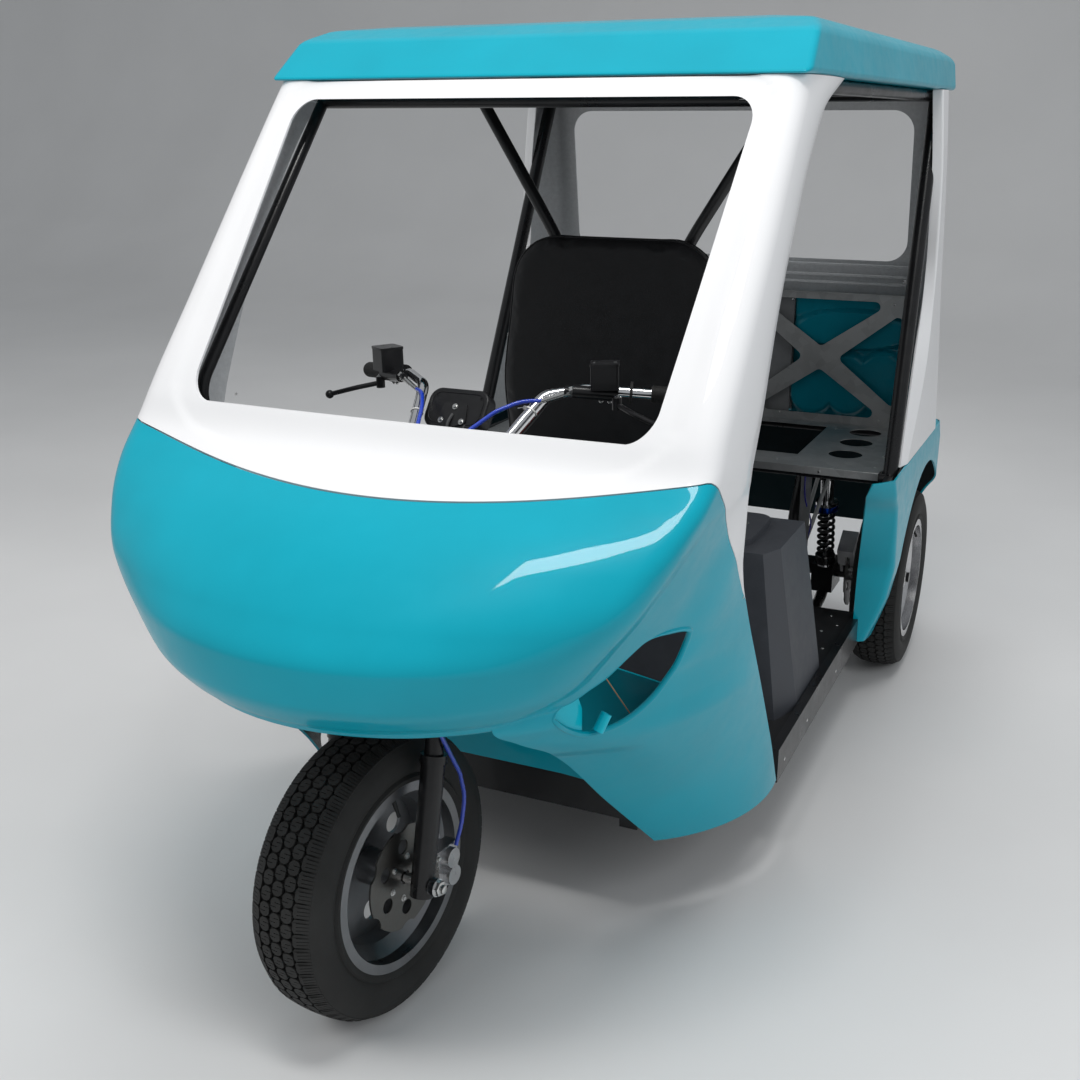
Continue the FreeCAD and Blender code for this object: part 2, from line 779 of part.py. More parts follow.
def rim(name, bore, web, hub_from, hub_to):
    """A deep-dish rim in one profile: barrel with flanges, web with round holes and hub sleeve."""
    corners = [
        ("-rim_half", "rim_flange_radius"), ("-rim_half + rim_wall", "rim_flange_radius"),
        ("-rim_half + rim_wall", "rim_seat_radius"), ("-rim_half + 28", "rim_seat_radius"),
        ("-rim_half + 38", "well_radius"), ("rim_half - 50", "well_radius"),
        ("rim_half - 28", "rim_seat_radius"), ("rim_half - rim_wall", "rim_seat_radius"),
        ("rim_half - rim_wall", "rim_flange_radius"), ("rim_half", "rim_flange_radius"),
        ("rim_half", "rim_seat_radius - rim_wall"), ("rim_half - 26", "rim_seat_radius - rim_wall"),
        ("rim_half - 48", "well_radius - rim_wall"), (f"{web} + web_wall", "well_radius - rim_wall"),
        (f"{web} + web_wall", "hub_radius"), (hub_to, "hub_radius"), (hub_to, bore),
        (hub_from, bore), (hub_from, "hub_radius"), (web, "hub_radius"),
        (web, "well_radius - rim_wall"), ("-rim_half + 36", "well_radius - rim_wall"),
        ("-rim_half + 26", "rim_seat_radius - rim_wall"), ("-rim_half", "rim_seat_radius - rim_wall"),
    ]
    body = turned_body(name, corners)
    holes_round(body, f"{name}_hole", "web_hole_centre", "web_hole_radius")
    return body


def disc(name, radius, bore, place):
    """A brake disc with a wavy rim and six cut-outs, bolted against the hub's end."""
    body = doc.addObject("PartDesign::Body", name)
    plate = sketch_on(body, f"{name}_outline", "YZ_Plane", place)
    draw_circle(plate, "0", "0", radius)
    draw_circle(plate, "0", "0", f"{bore} + 3")
    padded(body, f"{name}_plate", plate, "disc_wall")
    holes_round(body, f"{name}_slot", f"{radius} * 0.62", "14")
    holes_round(body, f"{name}_wave", f"{radius} + 18", "26")
    return body


steer_base = at(0, size("tyre_radius") * 0
                + size("fork_offset") / math.cos(math.radians(size("rake_angle"))),
                size("tyre_radius"))
steer_axis = Vector(0, math.sin(math.radians(size("rake_angle"))),
                    math.cos(math.radians(size("rake_angle"))))
steered = Placement(Vector(0, 0, 0), Rotation(steer_axis, -size("steer_angle")), steer_base)
front_centre = at(0, 0, size("tyre_radius"))


def steered_feature(label, shape):
    return feature(label, shape, steered)


def placed(item, placement):
    item.Placement = placement
    return add(item, item.Name)


wheel_turn = steered.multiply(Placement(front_centre, Rotation()))
placed(tyre("front_tyre"), wheel_turn)
placed(rim("front_rim", "front_bore", "front_web_place", "front_web_place - 20", "front_disc_place"),
       wheel_turn)
placed(disc("front_disc", "disc_radius", "front_bore", "front_disc_place"), wheel_turn)
for side, name in ((1, "left"), (-1, "right")):
    centre = behind(side * size("rear_track") / 2, 0, size("tyre_radius"))
    facing = Placement(centre, Rotation(Vector(0, 0, 1), 90 - 90 * side))
    placed(tyre(f"rear_tyre_{name}"), facing)
    placed(rim(f"rear_rim_{name}", "rear_bore", "rear_web_place", "rear_disc_place + disc_wall",
               "rear_web_place + 40"), facing)
    placed(disc(f"rear_disc_{name}", "rear_disc_radius", "rear_bore", "rear_disc_place"), facing)


# Steering
def along_fork(height, x=0, ahead=0):
    """A place on the steering axis at a height, moved ahead of it square to it."""
    rise = (height - size("tyre_radius")) / steer_axis.z
    forward = Vector(0, -steer_axis.z, steer_axis.y)
    return steer_base + steer_axis * rise + forward * ahead + Vector(x, 0, 0)


def fork_legs():
    """Two straight legs: a thick lower tube with the axle's eye and a thinner one above it."""
    ahead = size("fork_offset")
    turn = Rotation(Vector(0, 0, 1), steer_axis)
    legs = []
    for side, name in ((-1, "right"), (1, "left")):
        x = side * size("leg_spread")
        low = along_fork(size("tyre_radius") - 30, x, ahead)
        middle = along_fork(size("lower_yoke_height") - 140, x, ahead)
        top = along_fork(size("upper_yoke_height") + 20, x, ahead)
        lower = upright(f"fork_tube_{name}", "leg_radius", str((middle - low).Length), low, turn)
        upper = upright(f"stanchion_{name}", "stanchion_radius", str((top - middle).Length), middle,
                        turn)
        collar = upright(f"fork_collar_{name}", "leg_radius + 3", "16",
                         middle - steer_axis * 16, turn)
        legs.append(fused(f"fork_leg_{name}", [lower, upper, collar]))
    eye = cross_bar("axle_eye", "axle_radius", ("-leg_spread - 40", "leg_spread + 40"), "0",
                    "tyre_radius")
    return cut_by("fork_legs", grouped("fork_pair", legs), eye)


def yokes():
    """Two clamps across the fork legs, joined by the steering stem."""
    pieces = []
    ahead = size("fork_offset")
    holes = []
    for height in (size("lower_yoke_height"), size("upper_yoke_height")):
        base = along_fork(height)
        width = size("leg_spread") + 34
        plate = Part.makeBox(2 * width, 84, size("yoke_wall"), Vector(-width, -60, 0))
        corners = [edge for edge in plate.Edges if abs(edge.tangentAt(0).z) > 0.99]
        plate = plate.makeFillet(22, corners)
        plate.Placement = Placement(base, Rotation(Vector(1, 0, 0), -size("rake_angle")))
        pieces.append(plate)
    stem = rod(along_fork(size("lower_yoke_height")), along_fork(size("upper_yoke_height") + 20),
               size("stem_radius"))
    body = fuse(pieces + [stem])
    for side in (-1, 1):
        x = side * size("leg_spread")
        body = body.cut(rod(along_fork(size("lower_yoke_height") - 80, x, ahead),
                            along_fork(size("upper_yoke_height") + 60, x, ahead),
                            size("stanchion_radius")))
    face = along_fork(size("upper_yoke_height") + size("yoke_wall") / 2, 0, 62)
    return body.fuse(block(face - Vector(34, 20, 16), face + Vector(34, 10, 16)))


def front_axle():
    """A bar through wheel and fork eyes, with a nut outside each leg."""
    reach = "(leg_spread + leg_radius + 16)"
    bar = cross_bar("axle_bar", "axle_radius", (f"-{reach}", reach), "0", "tyre_radius")
    nuts = [cross_bar("axle_nut_right", "nut_radius", (f"-{reach} + 4", f"-{reach} + 4 + nut_wall"),
                      "0", "tyre_radius"),
            cross_bar("axle_nut_left", "nut_radius", (f"{reach} - 4 - nut_wall", f"{reach} - 4"),
                      "0", "tyre_radius")]
    return fused("front_axle", [bar] + nuts)


placed(front_axle(), steered)

BAR_ROUTE = (
    # x, station, rise above the upper yoke
    (25, 215, 64),
    (88, 270, 102),
    (140, 412, 216),
    (205, 455, 226),
    (385, 548, 208),
)


def bar_place(row, x=None):
    """A place of the bar's route, or one at another x on the same station and height."""
    return at(row[0] if x is None else x, row[1], size("upper_yoke_height") + row[2])


def handlebar():
    left = pipe([bar_place(row) for row in BAR_ROUTE], size("bar_radius"), 38)
    halves = both_sides(left)
    cross = rod(bar_place(BAR_ROUTE[0], -30), bar_place(BAR_ROUTE[0], 30), size("bar_radius"))
    return fuse(halves + [cross])


def grips():
    start = bar_place(BAR_ROUTE[-2])
    end = bar_place(BAR_ROUTE[-1])
    run = (end - start).normalize()
    length = size("grip_length")
    sleeve = rod(end - run * length, end + run * 3, size("grip_radius"))
    lip = rod(end - run * (length + 40), end - run * (length + 35), size("grip_radius") + 5)
    inner = rod(start, end, size("bar_radius"))
    return Part.makeCompound(both_sides(sleeve.cut(inner)) + both_sides(lip.cut(inner)))


def bar_clamps():
    """Two risers that clamp the bar to the upper yoke."""
    pieces = []
    top = along_fork(size("upper_yoke_height") + size("yoke_wall") * steer_axis.z)
    centre = bar_place(BAR_ROUTE[0], 0)
    for side in (-1, 1):
        foot = rod(top + Vector(side * 22, 0, -12), centre + Vector(side * 22, 0, 0), 11)
        cap = rod(centre + Vector(side * 22 - 9, 0, 0), centre + Vector(side * 22 + 9, 0, 0), 19)
        pieces.append(fuse([foot, cap]))
    return Part.makeCompound(pieces).cut(bar).cut(clamps)


def front_caliper():
    """Two-piston caliper over the disc's rear edge, on a lug of the left fork leg."""
    place = size("front_disc_place")
    thick = size("disc_wall")
    gap = size("pad_gap")
    reach = size("disc_radius") + 8
    inner = block(front_centre + Vector(place - gap - 12, 62, -55),
                  front_centre + Vector(place - gap, reach + 14, 25))
    outer = block(front_centre + Vector(place + thick + gap, 62, -55),
                  front_centre + Vector(place + thick + gap + 26, reach + 14, 25))
    bridge = block(front_centre + Vector(place - gap - 12, reach, -45),
                   front_centre + Vector(place + thick + gap + 26, reach + 14, 15))
    bores = [Part.makeCylinder(19, 16, front_centre + Vector(place + thick + gap + 24, 92, z),
                               Vector(1, 0, 0)) for z in (-32, 4)]
    lug = block(front_centre + Vector(place + thick + gap + 6, 16, 6),
                front_centre + Vector(place + thick + gap + 20, 70, 24))
    body = fuse([inner, outer, bridge, lug] + bores)
    swept = Part.makeCylinder(size("disc_radius") + gap, thick + 2 * gap,
                              front_centre + Vector(place - gap, 0, 0), Vector(1, 0, 0))
    return largest(body.cut(swept).cut(legs))


def rear_caliper(side):
    """Caliper over the upper front edge of a rear disc, on a plate of the axle tube."""
    thick = size("disc_wall")
    gap = size("pad_gap")
    inner_face = size("rear_track") / 2 - size("rear_disc_inset")
    centre = behind(0, 0, size("tyre_radius"))
    reach = size("rear_disc_radius")
    low, high = inner_face - gap - 22, inner_face + thick + gap + 12
    body = block(centre + Vector(low, -42, 68), centre + Vector(high, 42, reach + 22))
    swept = Part.makeCylinder(reach + gap, thick + 2 * gap,
                              centre + Vector(inner_face - gap, 0, 0), Vector(1, 0, 0))
    plate = block(centre + Vector(low, -24, 0), centre + Vector(low + 8, 24, 80))
    body = fuse([body, plate]).cut(swept)
    lean = body.copy()
    lean.rotate(centre, Vector(1, 0, 0), 32)
    if side < 0:
        lean = lean.mirror(Vector(0, 0, 0), Vector(1, 0, 0))
    return largest(lean.cut(axle))


def brake_control(side):
    """Master cylinder clamped ahead of the bar, square reservoir on top and a ball-ended lever."""
    inner, outer = bar_place(BAR_ROUTE[-2]), bar_place(BAR_ROUTE[-1])
    along = (outer - inner).normalize()
    up = Vector(0, 0, 1)
    ahead = along.cross(up).normalize()
    seat = inner + along * 36
    clamp = rod(seat - along * 10, seat + along * 10, size("bar_radius") + 7)
    body = rod(seat + ahead * 32 - along * 60, seat + ahead * 32 + along * 24, 12)
    tank = block(Vector(-26, -26, 0), Vector(26, 22, 44))
    tank = tank.makeFillet(5, [edge for edge in tank.Edges
                               if abs(edge.tangentAt(edge.FirstParameter).z) > 0.99])
    turn = Rotation(Vector(0, 0, 1), math.degrees(math.atan2(along.y, along.x)))
    tank.Placement = Placement(seat + ahead * 30 + Vector(0, 0, 10), turn)
    pivot = seat + ahead * 42 + along * 22 - up * 16
    tip = bar_place(BAR_ROUTE[-1]) - Vector(0, 138, 30)
    bend = pivot + (tip - pivot) * 0.35 + ahead * 12
    blade = fuse([pipe([pivot, bend, tip], 5, 60), Part.makeSphere(9, tip),
                  rod(pivot - up * 10, pivot + up * 13, 9)])
    nut = rod(seat + ahead * 32 - along * 76, seat + ahead * 32 - along * 58, 7)
    whole = fuse([clamp, body, tank, blade, nut, rod(seat, seat + ahead * 32, 8)]).cut(bar)
    whole = largest(whole)
    if side < 0:
        whole = whole.mirror(Vector(0, 0, 0), Vector(1, 0, 0))
    return whole


def display():
    """Rounded instrument housing that faces the driver, on a bent plate from the bar clamps."""
    face = block(Vector(-70, -16, -42), Vector(70, 16, 42))
    face = face.makeFillet(26, [edge for edge in face.Edges
                                if abs(edge.tangentAt(edge.FirstParameter).y) > 0.99])
    face = face.makeFillet(5, face.Edges)
    tilt = Rotation(Vector(1, 0, 0), -35)
    centre = bar_place((-48, 400, 172))
    face.Placement = Placement(centre, tilt)
    stay = pipe([bar_place((-12, 225, 82)), bar_place((-16, 300, 105)),
                 centre + Vector(30, -6, -6)], 6, 20)
    return largest(fuse([face, stay]).cut(bar).cut(risers))


HOSE_ROUTES = {
    # a hose's name and its route: x, station, height
    "brake_hose_left": ((146, 394, 1090), (112, 374, 1090), (76, 340, 1074), (42, 296, 1042),
                        (16, 246, 1000), (4, 196, 956), (8, 150, 920), (14, 124, 893)),
    "brake_hose_right": ((-146, 394, 1090), (-116, 372, 1090), (-90, 336, 1072), (-72, 288, 1032),
                         (-56, 240, 988), (-38, 194, 944), (-22, 150, 912), (-14, 124, 893)),
    "caliper_hose": ((30, 98, 862), (62, 66, 820), (96, 40, 760), (122, 18, 700), (136, 10, 636),
                     (140, 28, 572), (134, 66, 510), (124, 108, 448), (114, 134, 386),
                     (108, 128, 330), (104, 112, 290)),
}


def brake_hoses():
    """Three hoses, each cut off flat where it enters its fitting."""
    runs = []
    for route in HOSE_ROUTES.values():
        run = pipe([at(*spot) for spot in route], size("hose_radius"), 90)
        for neighbour in (caliper, controls, clamps, bar):
            run = run.cut(neighbour)
        runs.append(largest(run))
    return Part.makeCompound(runs)


bar = handlebar()
clamps = yokes()
steered_feature("fork_yokes", clamps)
risers = bar_clamps()
steered_feature("bar_clamps", risers)
steered_feature("handlebar", bar)
steered_feature("grips", grips())
fork_pair = fork_legs()
doc.recompute()
legs = fork_pair.Shape.copy()
placed(fork_pair, steered)
caliper = front_caliper()
steered_feature("front_caliper", caliper)
controls = Part.makeCompound([brake_control(1), brake_control(-1)])
steered_feature("brake_controls", controls)
screen = display()
steered_feature("display", screen)
steered_feature("brake_hoses", brake_hoses())


def steering_head():
    """The head tube and the two bent tubes that carry it down to the floor."""
    low = along_fork(size("lower_yoke_height") + size("yoke_wall") + 8)
    high = along_fork(size("upper_yoke_height") - 6)
    tube = rod(low, high, size("head_radius"))
    bore = rod(low, high, size("stem_radius") + size("running_gap"))
    leg = pipe([along_fork(size("upper_yoke_height") - 90, 10),
                at(70, 400, size("upper_yoke_height") - 160),
                at(90, 470, size("lower_yoke_height") - 80),
                at(90, 500, size("floor_height"))], size("tube_radius"), 60)
    return largest(fuse([tube] + both_sides(leg)).cut(bore).cut(floor))


feature("steering_head", steering_head())


# Tube frame above the floor
def front_hoop():
    side = pipe([at(501, 700, 1627), at(540, 262, 1075), at(495, 350, 760),
                 at(470, 560, size("floor_height"))], size("hoop_radius"), 80)
    header = rod(at(-501, 700, 1627), at(501, 700, 1627), size("hoop_radius"))
    return fuse(both_sides(side) + [header]).cut(floor)


def brace_station():
    """The plane of the V brace, just behind the seat back."""
    return (size("box_station") + size("back_station") + size("seat_wall")
            + size("brace_radius") + size("running_gap"))


def roof_rails():
    high = size("roof_low") - size("tube_radius")
    side = rod(at(520, 712, high), behind(565, 60, high), size("tube_radius"))
    rear = rod(behind(-563, 40, high), behind(563, 40, high), size("tube_radius"))
    middle = rod(at(-532, brace_station(), high), at(532, brace_station(), high),
                 size("tube_radius"))
    body = fuse(both_sides(side) + [rear, middle])
    return body.cut(hoop)


def rear_frame():
    """Leaning posts from the roof rails to the deck frame, and the frame under the deck."""
    under = size("deck_under") - size("tube_radius")
    post = rod(*post_ends(), size("post_radius"))
    cross = rod(behind(-606, -430, under), behind(606, -430, under), size("tube_radius"))
    back = rod(behind(-580, 130, under), behind(580, 130, under), size("tube_radius"))
    side = rod(behind(620, -525, under), behind(580, 130, under), size("tube_radius"))
    foot = rod(behind(585, -430, under), behind(541, -310, size("sill_top") - 10), size("tube_radius"))
    body = fuse(both_sides(post) + both_sides(side) + both_sides(foot) + [cross, back])
    return body.cut(rails).cut(frame)


hoop = front_hoop()
feature("front_hoop", hoop)
rails = roof_rails()
feature("roof_rails", rails)
posts = rear_frame()
feature("rear_frame", posts)
feature("rear_lower_shell", rear_lower())


def deck():
    """Galvanised sheet with a folded front edge, three round holes a side and a middle hatch."""
    body = doc.addObject("PartDesign::Body", "rear_deck")
    sheet = sketch_on(body, "deck_outline", "XY_Plane", "deck_under")
    axle_line = "wheelbase - origin_back"
    front_line = f"{axle_line} - deck_reach"
    rear_line = f"{axle_line} + panel_station"
    draw_loop(sheet, rectangle("deck_half", front_line, rear_line))
    draw_loop(sheet, rectangle("hatch_half", f"{axle_line} - hatch_front", f"{axle_line} + hatch_rear"))
    for station in (-265, -115, 20):
        for side in ("", "-"):
            draw_circle(sheet, f"{side}deck_hole_x", f"{axle_line} + ({station})", "deck_hole_radius")
    padded(body, "deck_sheet", sheet, "deck_wall")
    edge = sketch_on(body, "deck_lip_outline", "XY_Plane", "deck_height - deck_lip")
    draw_loop(edge, rectangle("deck_half", front_line, f"{front_line} + deck_wall"))
    padded(body, "deck_lip_fold", edge, "deck_lip")
    return add(body, "rear_deck")


def rectangle(half, near, far):
    """The corners of a rectangle that is centred on the middle plane."""
    return [(f"-({half})", near), (half, near), (half, far), (f"-({half})", far)]


def rounded_triangle(corners, radius):
    """A triangular plate hole with round corners, pushed through from front to back."""
    tool = prism(corners, Vector(0, 60, 0))
    edges = [edge for edge in tool.Edges
             if abs(edge.tangentAt(edge.FirstParameter).y) > 0.99]
    return tool.makeFillet(radius, edges)


def backrest_panel():
    """Galvanised panel behind the deck, two X-shaped webs between rounded openings, top folded."""
    sheet = box("panel_sheet", ("-panel_half", "panel_half"),
                ("wheelbase + panel_station", "wheelbase + panel_station + deck_wall"),
                ("deck_under", "panel_top"))
    fold = box("panel_fold", ("-panel_half", "panel_half"),
               ("wheelbase + panel_station - 22", "wheelbase + panel_station + deck_wall"),
               ("panel_top - deck_wall", "panel_top"))
    openings = []
    foot = size("panel_station") - 18
    middle = size("deck_height") + size("panel_height") / 2
    for centre in (-size("panel_half") / 2 - 10, size("panel_half") / 2 + 10):
        for corners in (((-205, 176), (205, 176), (0, 34)), ((-205, -176), (205, -176), (0, -34)),
                        ((-240, 150), (-240, -150), (-52, 0)), ((240, 150), (240, -150), (52, 0))):
            points = [behind(centre + x, foot, middle + z) for x, z in corners]
            openings.append(rounded_triangle(points, 16))
    tool = doc.addObject("Part::Feature", "panel_openings")
    tool.Shape = Part.makeCompound(openings)
    return add(cut_by("backrest_panel", fused("panel_folded", [sheet, fold]), tool), "backrest_panel")


def driver_box():
    """Moulded box with chamfered front corners that leans in towards its raised lid."""
    body = doc.addObject("PartDesign::Body", "driver_box")
    loops = []
    for name, lift, front_x, rear_x, chamfer, inset in (
            ("foot", "floor_height", "498", "530", "90", "0"),
            ("top", "box_top", "444", "470", "60", "20")):
        front = f"box_station + {inset} - origin_back"
        rear = f"box_rear - {inset} - origin_back"
        corners = [(front_x, front), (rear_x, f"{front} + {chamfer}"), (rear_x, rear)]
        loop = sketch_on(body, f"box_{name}", "XY_Plane", lift)
        draw_loop(loop, corners + [(f"-{x}", y) for x, y in reversed(corners)])
        loops.append(loop)
    walls = body.newObject("PartDesign::AdditiveLoft", "box_walls")
    walls.Profile = loops[0]
    walls.Sections = [loops[1]]
    walls.Ruled = True
    lid = sketch_on(body, "lid_outline", "XY_Plane", "box_top")
    draw_loop(lid, rectangle("400", "box_station + 50 - origin_back", "box_rear - 50 - origin_back"))
    raised = padded(body, "lid", lid, "lid_rise")
    doc.recompute()
    corners = [f"Edge{number}" for number, edge in enumerate(raised.Shape.Edges, start=1)
               if abs(edge.Length - size("lid_rise")) < 0.01]
    soft = body.newObject("PartDesign::Fillet", "lid_corners")
    soft.Base = (raised, corners)
    soft.Radius = 40
    body.Tip = soft
    return add(body, "driver_box")


def seat_cushion():
    block_item = box("cushion_block", ("-seat_half", "seat_half"),
                     ("box_station - 60", "box_station + back_station - 1"),
                     ("lid_top", "lid_top + cushion_wall"))
    return add(softened("seat_cushion", block_item, 18), "seat_cushion")


def seat_back():
    block_item = box("back_block", ("-seat_half", "seat_half"),
                     ("box_station + back_station", "box_station + back_station + seat_wall"),
                     ("lid_top + cushion_wall + 4", "1341"))
    return add(softened("seat_back", block_item, 22), "seat_back")


for make in (deck, backrest_panel, driver_box, seat_cushion, seat_back):
    make()


def seat_brace():
    """The V of tubes behind the seat, from the roof cross tube down to the box."""
    station = brace_station()
    low = size("lid_top")
    side = rod(at(400, station, 1655), at(90, station, low), size("brace_radius"))
    foot = block(at(-130, station - 20, low), at(130, station + 20, low + 6))
    ground = block(at(-500, station - 50, low - 50), at(500, station + 50, low))
    return fuse(both_sides(side) + [foot]).cut(ground).cut(rails)


feature("seat_brace", seat_brace())


# Rear axle
def rear_axle():
    """Axle tube with the shock's pad and the wheel's stub, either side of the drive unit."""
    inner_face = "rear_track / 2 - rear_disc_inset"
    line_up = ("wheelbase", "tyre_radius")
    tube = cross_bar("axle_tube", "axle_tube_radius", ("motor_half", f"{inner_face} - 10"), *line_up)
    stub = cross_bar("axle_stub", "stub_radius", (f"{inner_face} - 14", "rear_track / 2 + 60"), *line_up)
    pad = box("axle_pad", ("shock_x - 35", "shock_x + 30"), ("wheelbase - 80", "wheelbase + 40"),
              ("tyre_radius - 56", "tyre_radius + axle_tube_radius + 1"))
    half = fused("axle_half", [tube, stub, pad])
    return add(grouped("rear_axle", [half, twin(half)]), "rear_axle")


def drive_unit():
    """The closed motor and gear housing, one plain drum between the axle tubes."""
    item = cross_bar("drive_unit", "motor_radius", ("-motor_half", "motor_half"), "wheelbase",
                     "tyre_radius")
    return add(item, "drive_unit")


axle_pair = rear_axle()
drive_unit()
doc.recompute()
axle = axle_pair.Shape


def swing_arm(side):
    """A bent tube from the rear cross member back to the axle."""
    foot = size("wheelbase") - size("floor_tail")
    x = side * 385
    route = [at(x, foot, 208), at(x, foot + 90, 186), behind(x, -90, 200), behind(x, -20, 236)]
    return largest(pipe(route, 17, 110).cut(axle).cut(frame).cut(members))


shock_low = behind(size("shock_x"), -56, size("tyre_radius") + size("axle_tube_radius") + 1)
shock_high = behind(size("shock_x"), -112, size("deck_height") - 84)
shock_run = shock_high - shock_low
shock_lean = Rotation(Vector(0, 0, 1), shock_run)


def shocks():
    """Damper rod, chrome body, adjusting ring and lower seat, between axle pad and rail bracket."""
    pieces = []
    for name, radius, start, end in (("rod", "9", 0, 0.7), ("seat", "29", 0, 0.1),
                                     ("body", "20", 0.62, 1), ("ring", "33", 0.6, 0.66)):
        pieces.append(upright(f"shock_{name}", radius, str(shock_run.Length * (end - start)),
                              shock_low + shock_run * start, shock_lean))
    whole = fused("shock", pieces)
    around = doc.addObject("Part::Feature", "shock_seats")
    around.Shape = Part.makeCompound([frame, axle])
    fitted = cut_by("shock_fitted", whole, around)
    return add(grouped("shocks", [fitted, twin(fitted)]), "shocks")


def shock_braces():
    """An upright angle bar from the deck down beside each rail, with two struts to the bracket."""
    inner = "keel_half + keel_width / 2 + rail_radius + 0.3"
    station = "wheelbase - 255"
    side_leg = box("brace_side", (inner, f"{inner} + 3"), (station, f"{station} + 30"),
                   ("tyre_radius + 66", "deck_under - 0.3"))
    front_leg = box("brace_front", (inner, f"{inner} + 30"), (station, f"{station} + 3"),
                    ("tyre_radius + 66", "deck_under - 0.3"))
    x = size("keel_half") + size("keel_width") / 2 + size("rail_radius") + 12
    struts = []
    for name, low_z, high_x, high_z in (("lower", 385, 46, 596), ("upper", 455, 20, 622)):
        start = behind(x, -254, low_z)
        end = behind(x + high_x, -151, high_z)
        struts.append(upright(f"brace_strut_{name}", "6", str((end - start).Length), start,
                              Rotation(Vector(0, 0, 1), end - start)))
    whole = fused("shock_brace", [side_leg, front_leg] + struts)
    rail_tool = doc.addObject("Part::Feature", "brace_rails")
    rail_tool.Shape = rear_rails
    fitted = cut_by("brace_fitted", whole, rail_tool)
    return add(grouped("shock_braces", [fitted, twin(fitted)]), "shock_braces")


def springs():
    """The coil round each damper, a helix swept between its two seats with the running gap."""
    wire = size("spring_wire")
    rise = shock_run.Length * 0.5 - 2 * (wire + size("running_gap"))
    helix = doc.addObject("Part::Helix", "spring_helix")
    bind(helix, Radius="spring_radius - spring_wire", Height=str(rise), Pitch=f"{rise} / spring_turns")
    section = doc.addObject("Part::Circle", "spring_section")
    section.Placement = Placement(Vector(0, 0, 0), Rotation(Vector(1, 0, 0), 90))
    bind(section, Radius="spring_wire", x="spring_radius - spring_wire")
    coil = doc.addObject("Part::Sweep", "spring_coil")
    coil.Sections = [section]
    coil.Spine = (helix, ["Edge1"])
    coil.Solid = True
    coil.Frenet = True
    start = shock_low + shock_run * (0.1 + (wire + size("running_gap")) / shock_run.Length)
    coil.Placement = Placement(start, shock_lean)
    return add(grouped("springs", [coil, twin(coil)]), "springs")


feature("swing_arms", Part.makeCompound([swing_arm(1), swing_arm(-1)]))
feature("rear_calipers", Part.makeCompound([rear_caliper(1), rear_caliper(-1)]))
shocks()
springs()
shock_braces()
doc.recompute()


def check_and_write():
    """Refuse a failed object or a bad shape, then write one STEP file a sub-part."""
    for item in doc.Objects:
        bad = [state for state in item.State if state in ("Invalid", "Error")]
        if bad:
            raise ValueError(f"{item.Label} is {bad}")
    os.makedirs("parts", exist_ok=True)
    for item in subparts:
        shape = item.Shape
        if shape.isNull() or not shape.isValid() or not shape.Solids:
            raise ValueError(f"{item.Label} has no valid solid")
        shape.exportStep(f"parts/{item.Label}.step")
        print(item.Label, len(shape.Solids), round(shape.Volume / 1000), "cc")


check_and_write()
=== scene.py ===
"""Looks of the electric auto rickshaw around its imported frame. Metres, +Z up, -Y is the front."""
import math
from contextlib import contextmanager

import bmesh
import bpy
import numpy as np
from mathutils import Matrix, Vector
from mathutils.bvhtree import BVHTree
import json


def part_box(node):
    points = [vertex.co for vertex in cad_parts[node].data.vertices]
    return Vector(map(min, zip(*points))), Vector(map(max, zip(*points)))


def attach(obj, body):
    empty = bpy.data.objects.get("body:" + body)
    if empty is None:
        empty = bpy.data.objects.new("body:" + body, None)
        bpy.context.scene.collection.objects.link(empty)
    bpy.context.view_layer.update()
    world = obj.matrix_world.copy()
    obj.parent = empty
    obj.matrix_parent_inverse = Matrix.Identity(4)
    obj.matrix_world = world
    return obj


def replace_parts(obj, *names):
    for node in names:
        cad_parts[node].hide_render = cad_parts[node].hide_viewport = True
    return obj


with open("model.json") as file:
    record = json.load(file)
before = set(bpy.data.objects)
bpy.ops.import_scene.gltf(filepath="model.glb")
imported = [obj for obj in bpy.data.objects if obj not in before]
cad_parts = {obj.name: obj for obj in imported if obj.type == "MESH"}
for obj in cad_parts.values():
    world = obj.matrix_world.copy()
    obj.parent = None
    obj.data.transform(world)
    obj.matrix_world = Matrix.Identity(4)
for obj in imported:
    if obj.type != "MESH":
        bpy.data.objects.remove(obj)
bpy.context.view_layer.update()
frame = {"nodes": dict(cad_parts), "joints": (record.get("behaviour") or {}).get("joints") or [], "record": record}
slot_of = {row["node"]: row["material_slot"] for row in frame["record"]["subparts"]}

# Places are given as on the drawing: millimetres, a station behind the front axle, a height
ORIGIN_BACK = 1050.0
WHEELBASE = 2045.0
TYRE_RADIUS = 271.5
SKIN = 0.005
TEAL_LINEAR = (0.0, 0.34, 0.45)
WHITE_LINEAR = (0.80, 0.80, 0.81)


def at(x, station, height):
    return Vector((x / 1000, (station - ORIGIN_BACK) / 1000, height / 1000))


def behind(x, station, height):
    return at(x, station + WHEELBASE, height)


# Materials
SHADER_SOCKETS = {"metal": ("Metallic", 0.0), "coat": ("Coat Weight", 0.0),
                  "coat_rough": ("Coat Roughness", 0.03), "sheen": ("Sheen Weight", 0.0),
                  "flat_rough": ("Roughness", 0.5), "ior": ("IOR", 1.5),
                  "specular": ("Specular IOR Level", 0.5)}


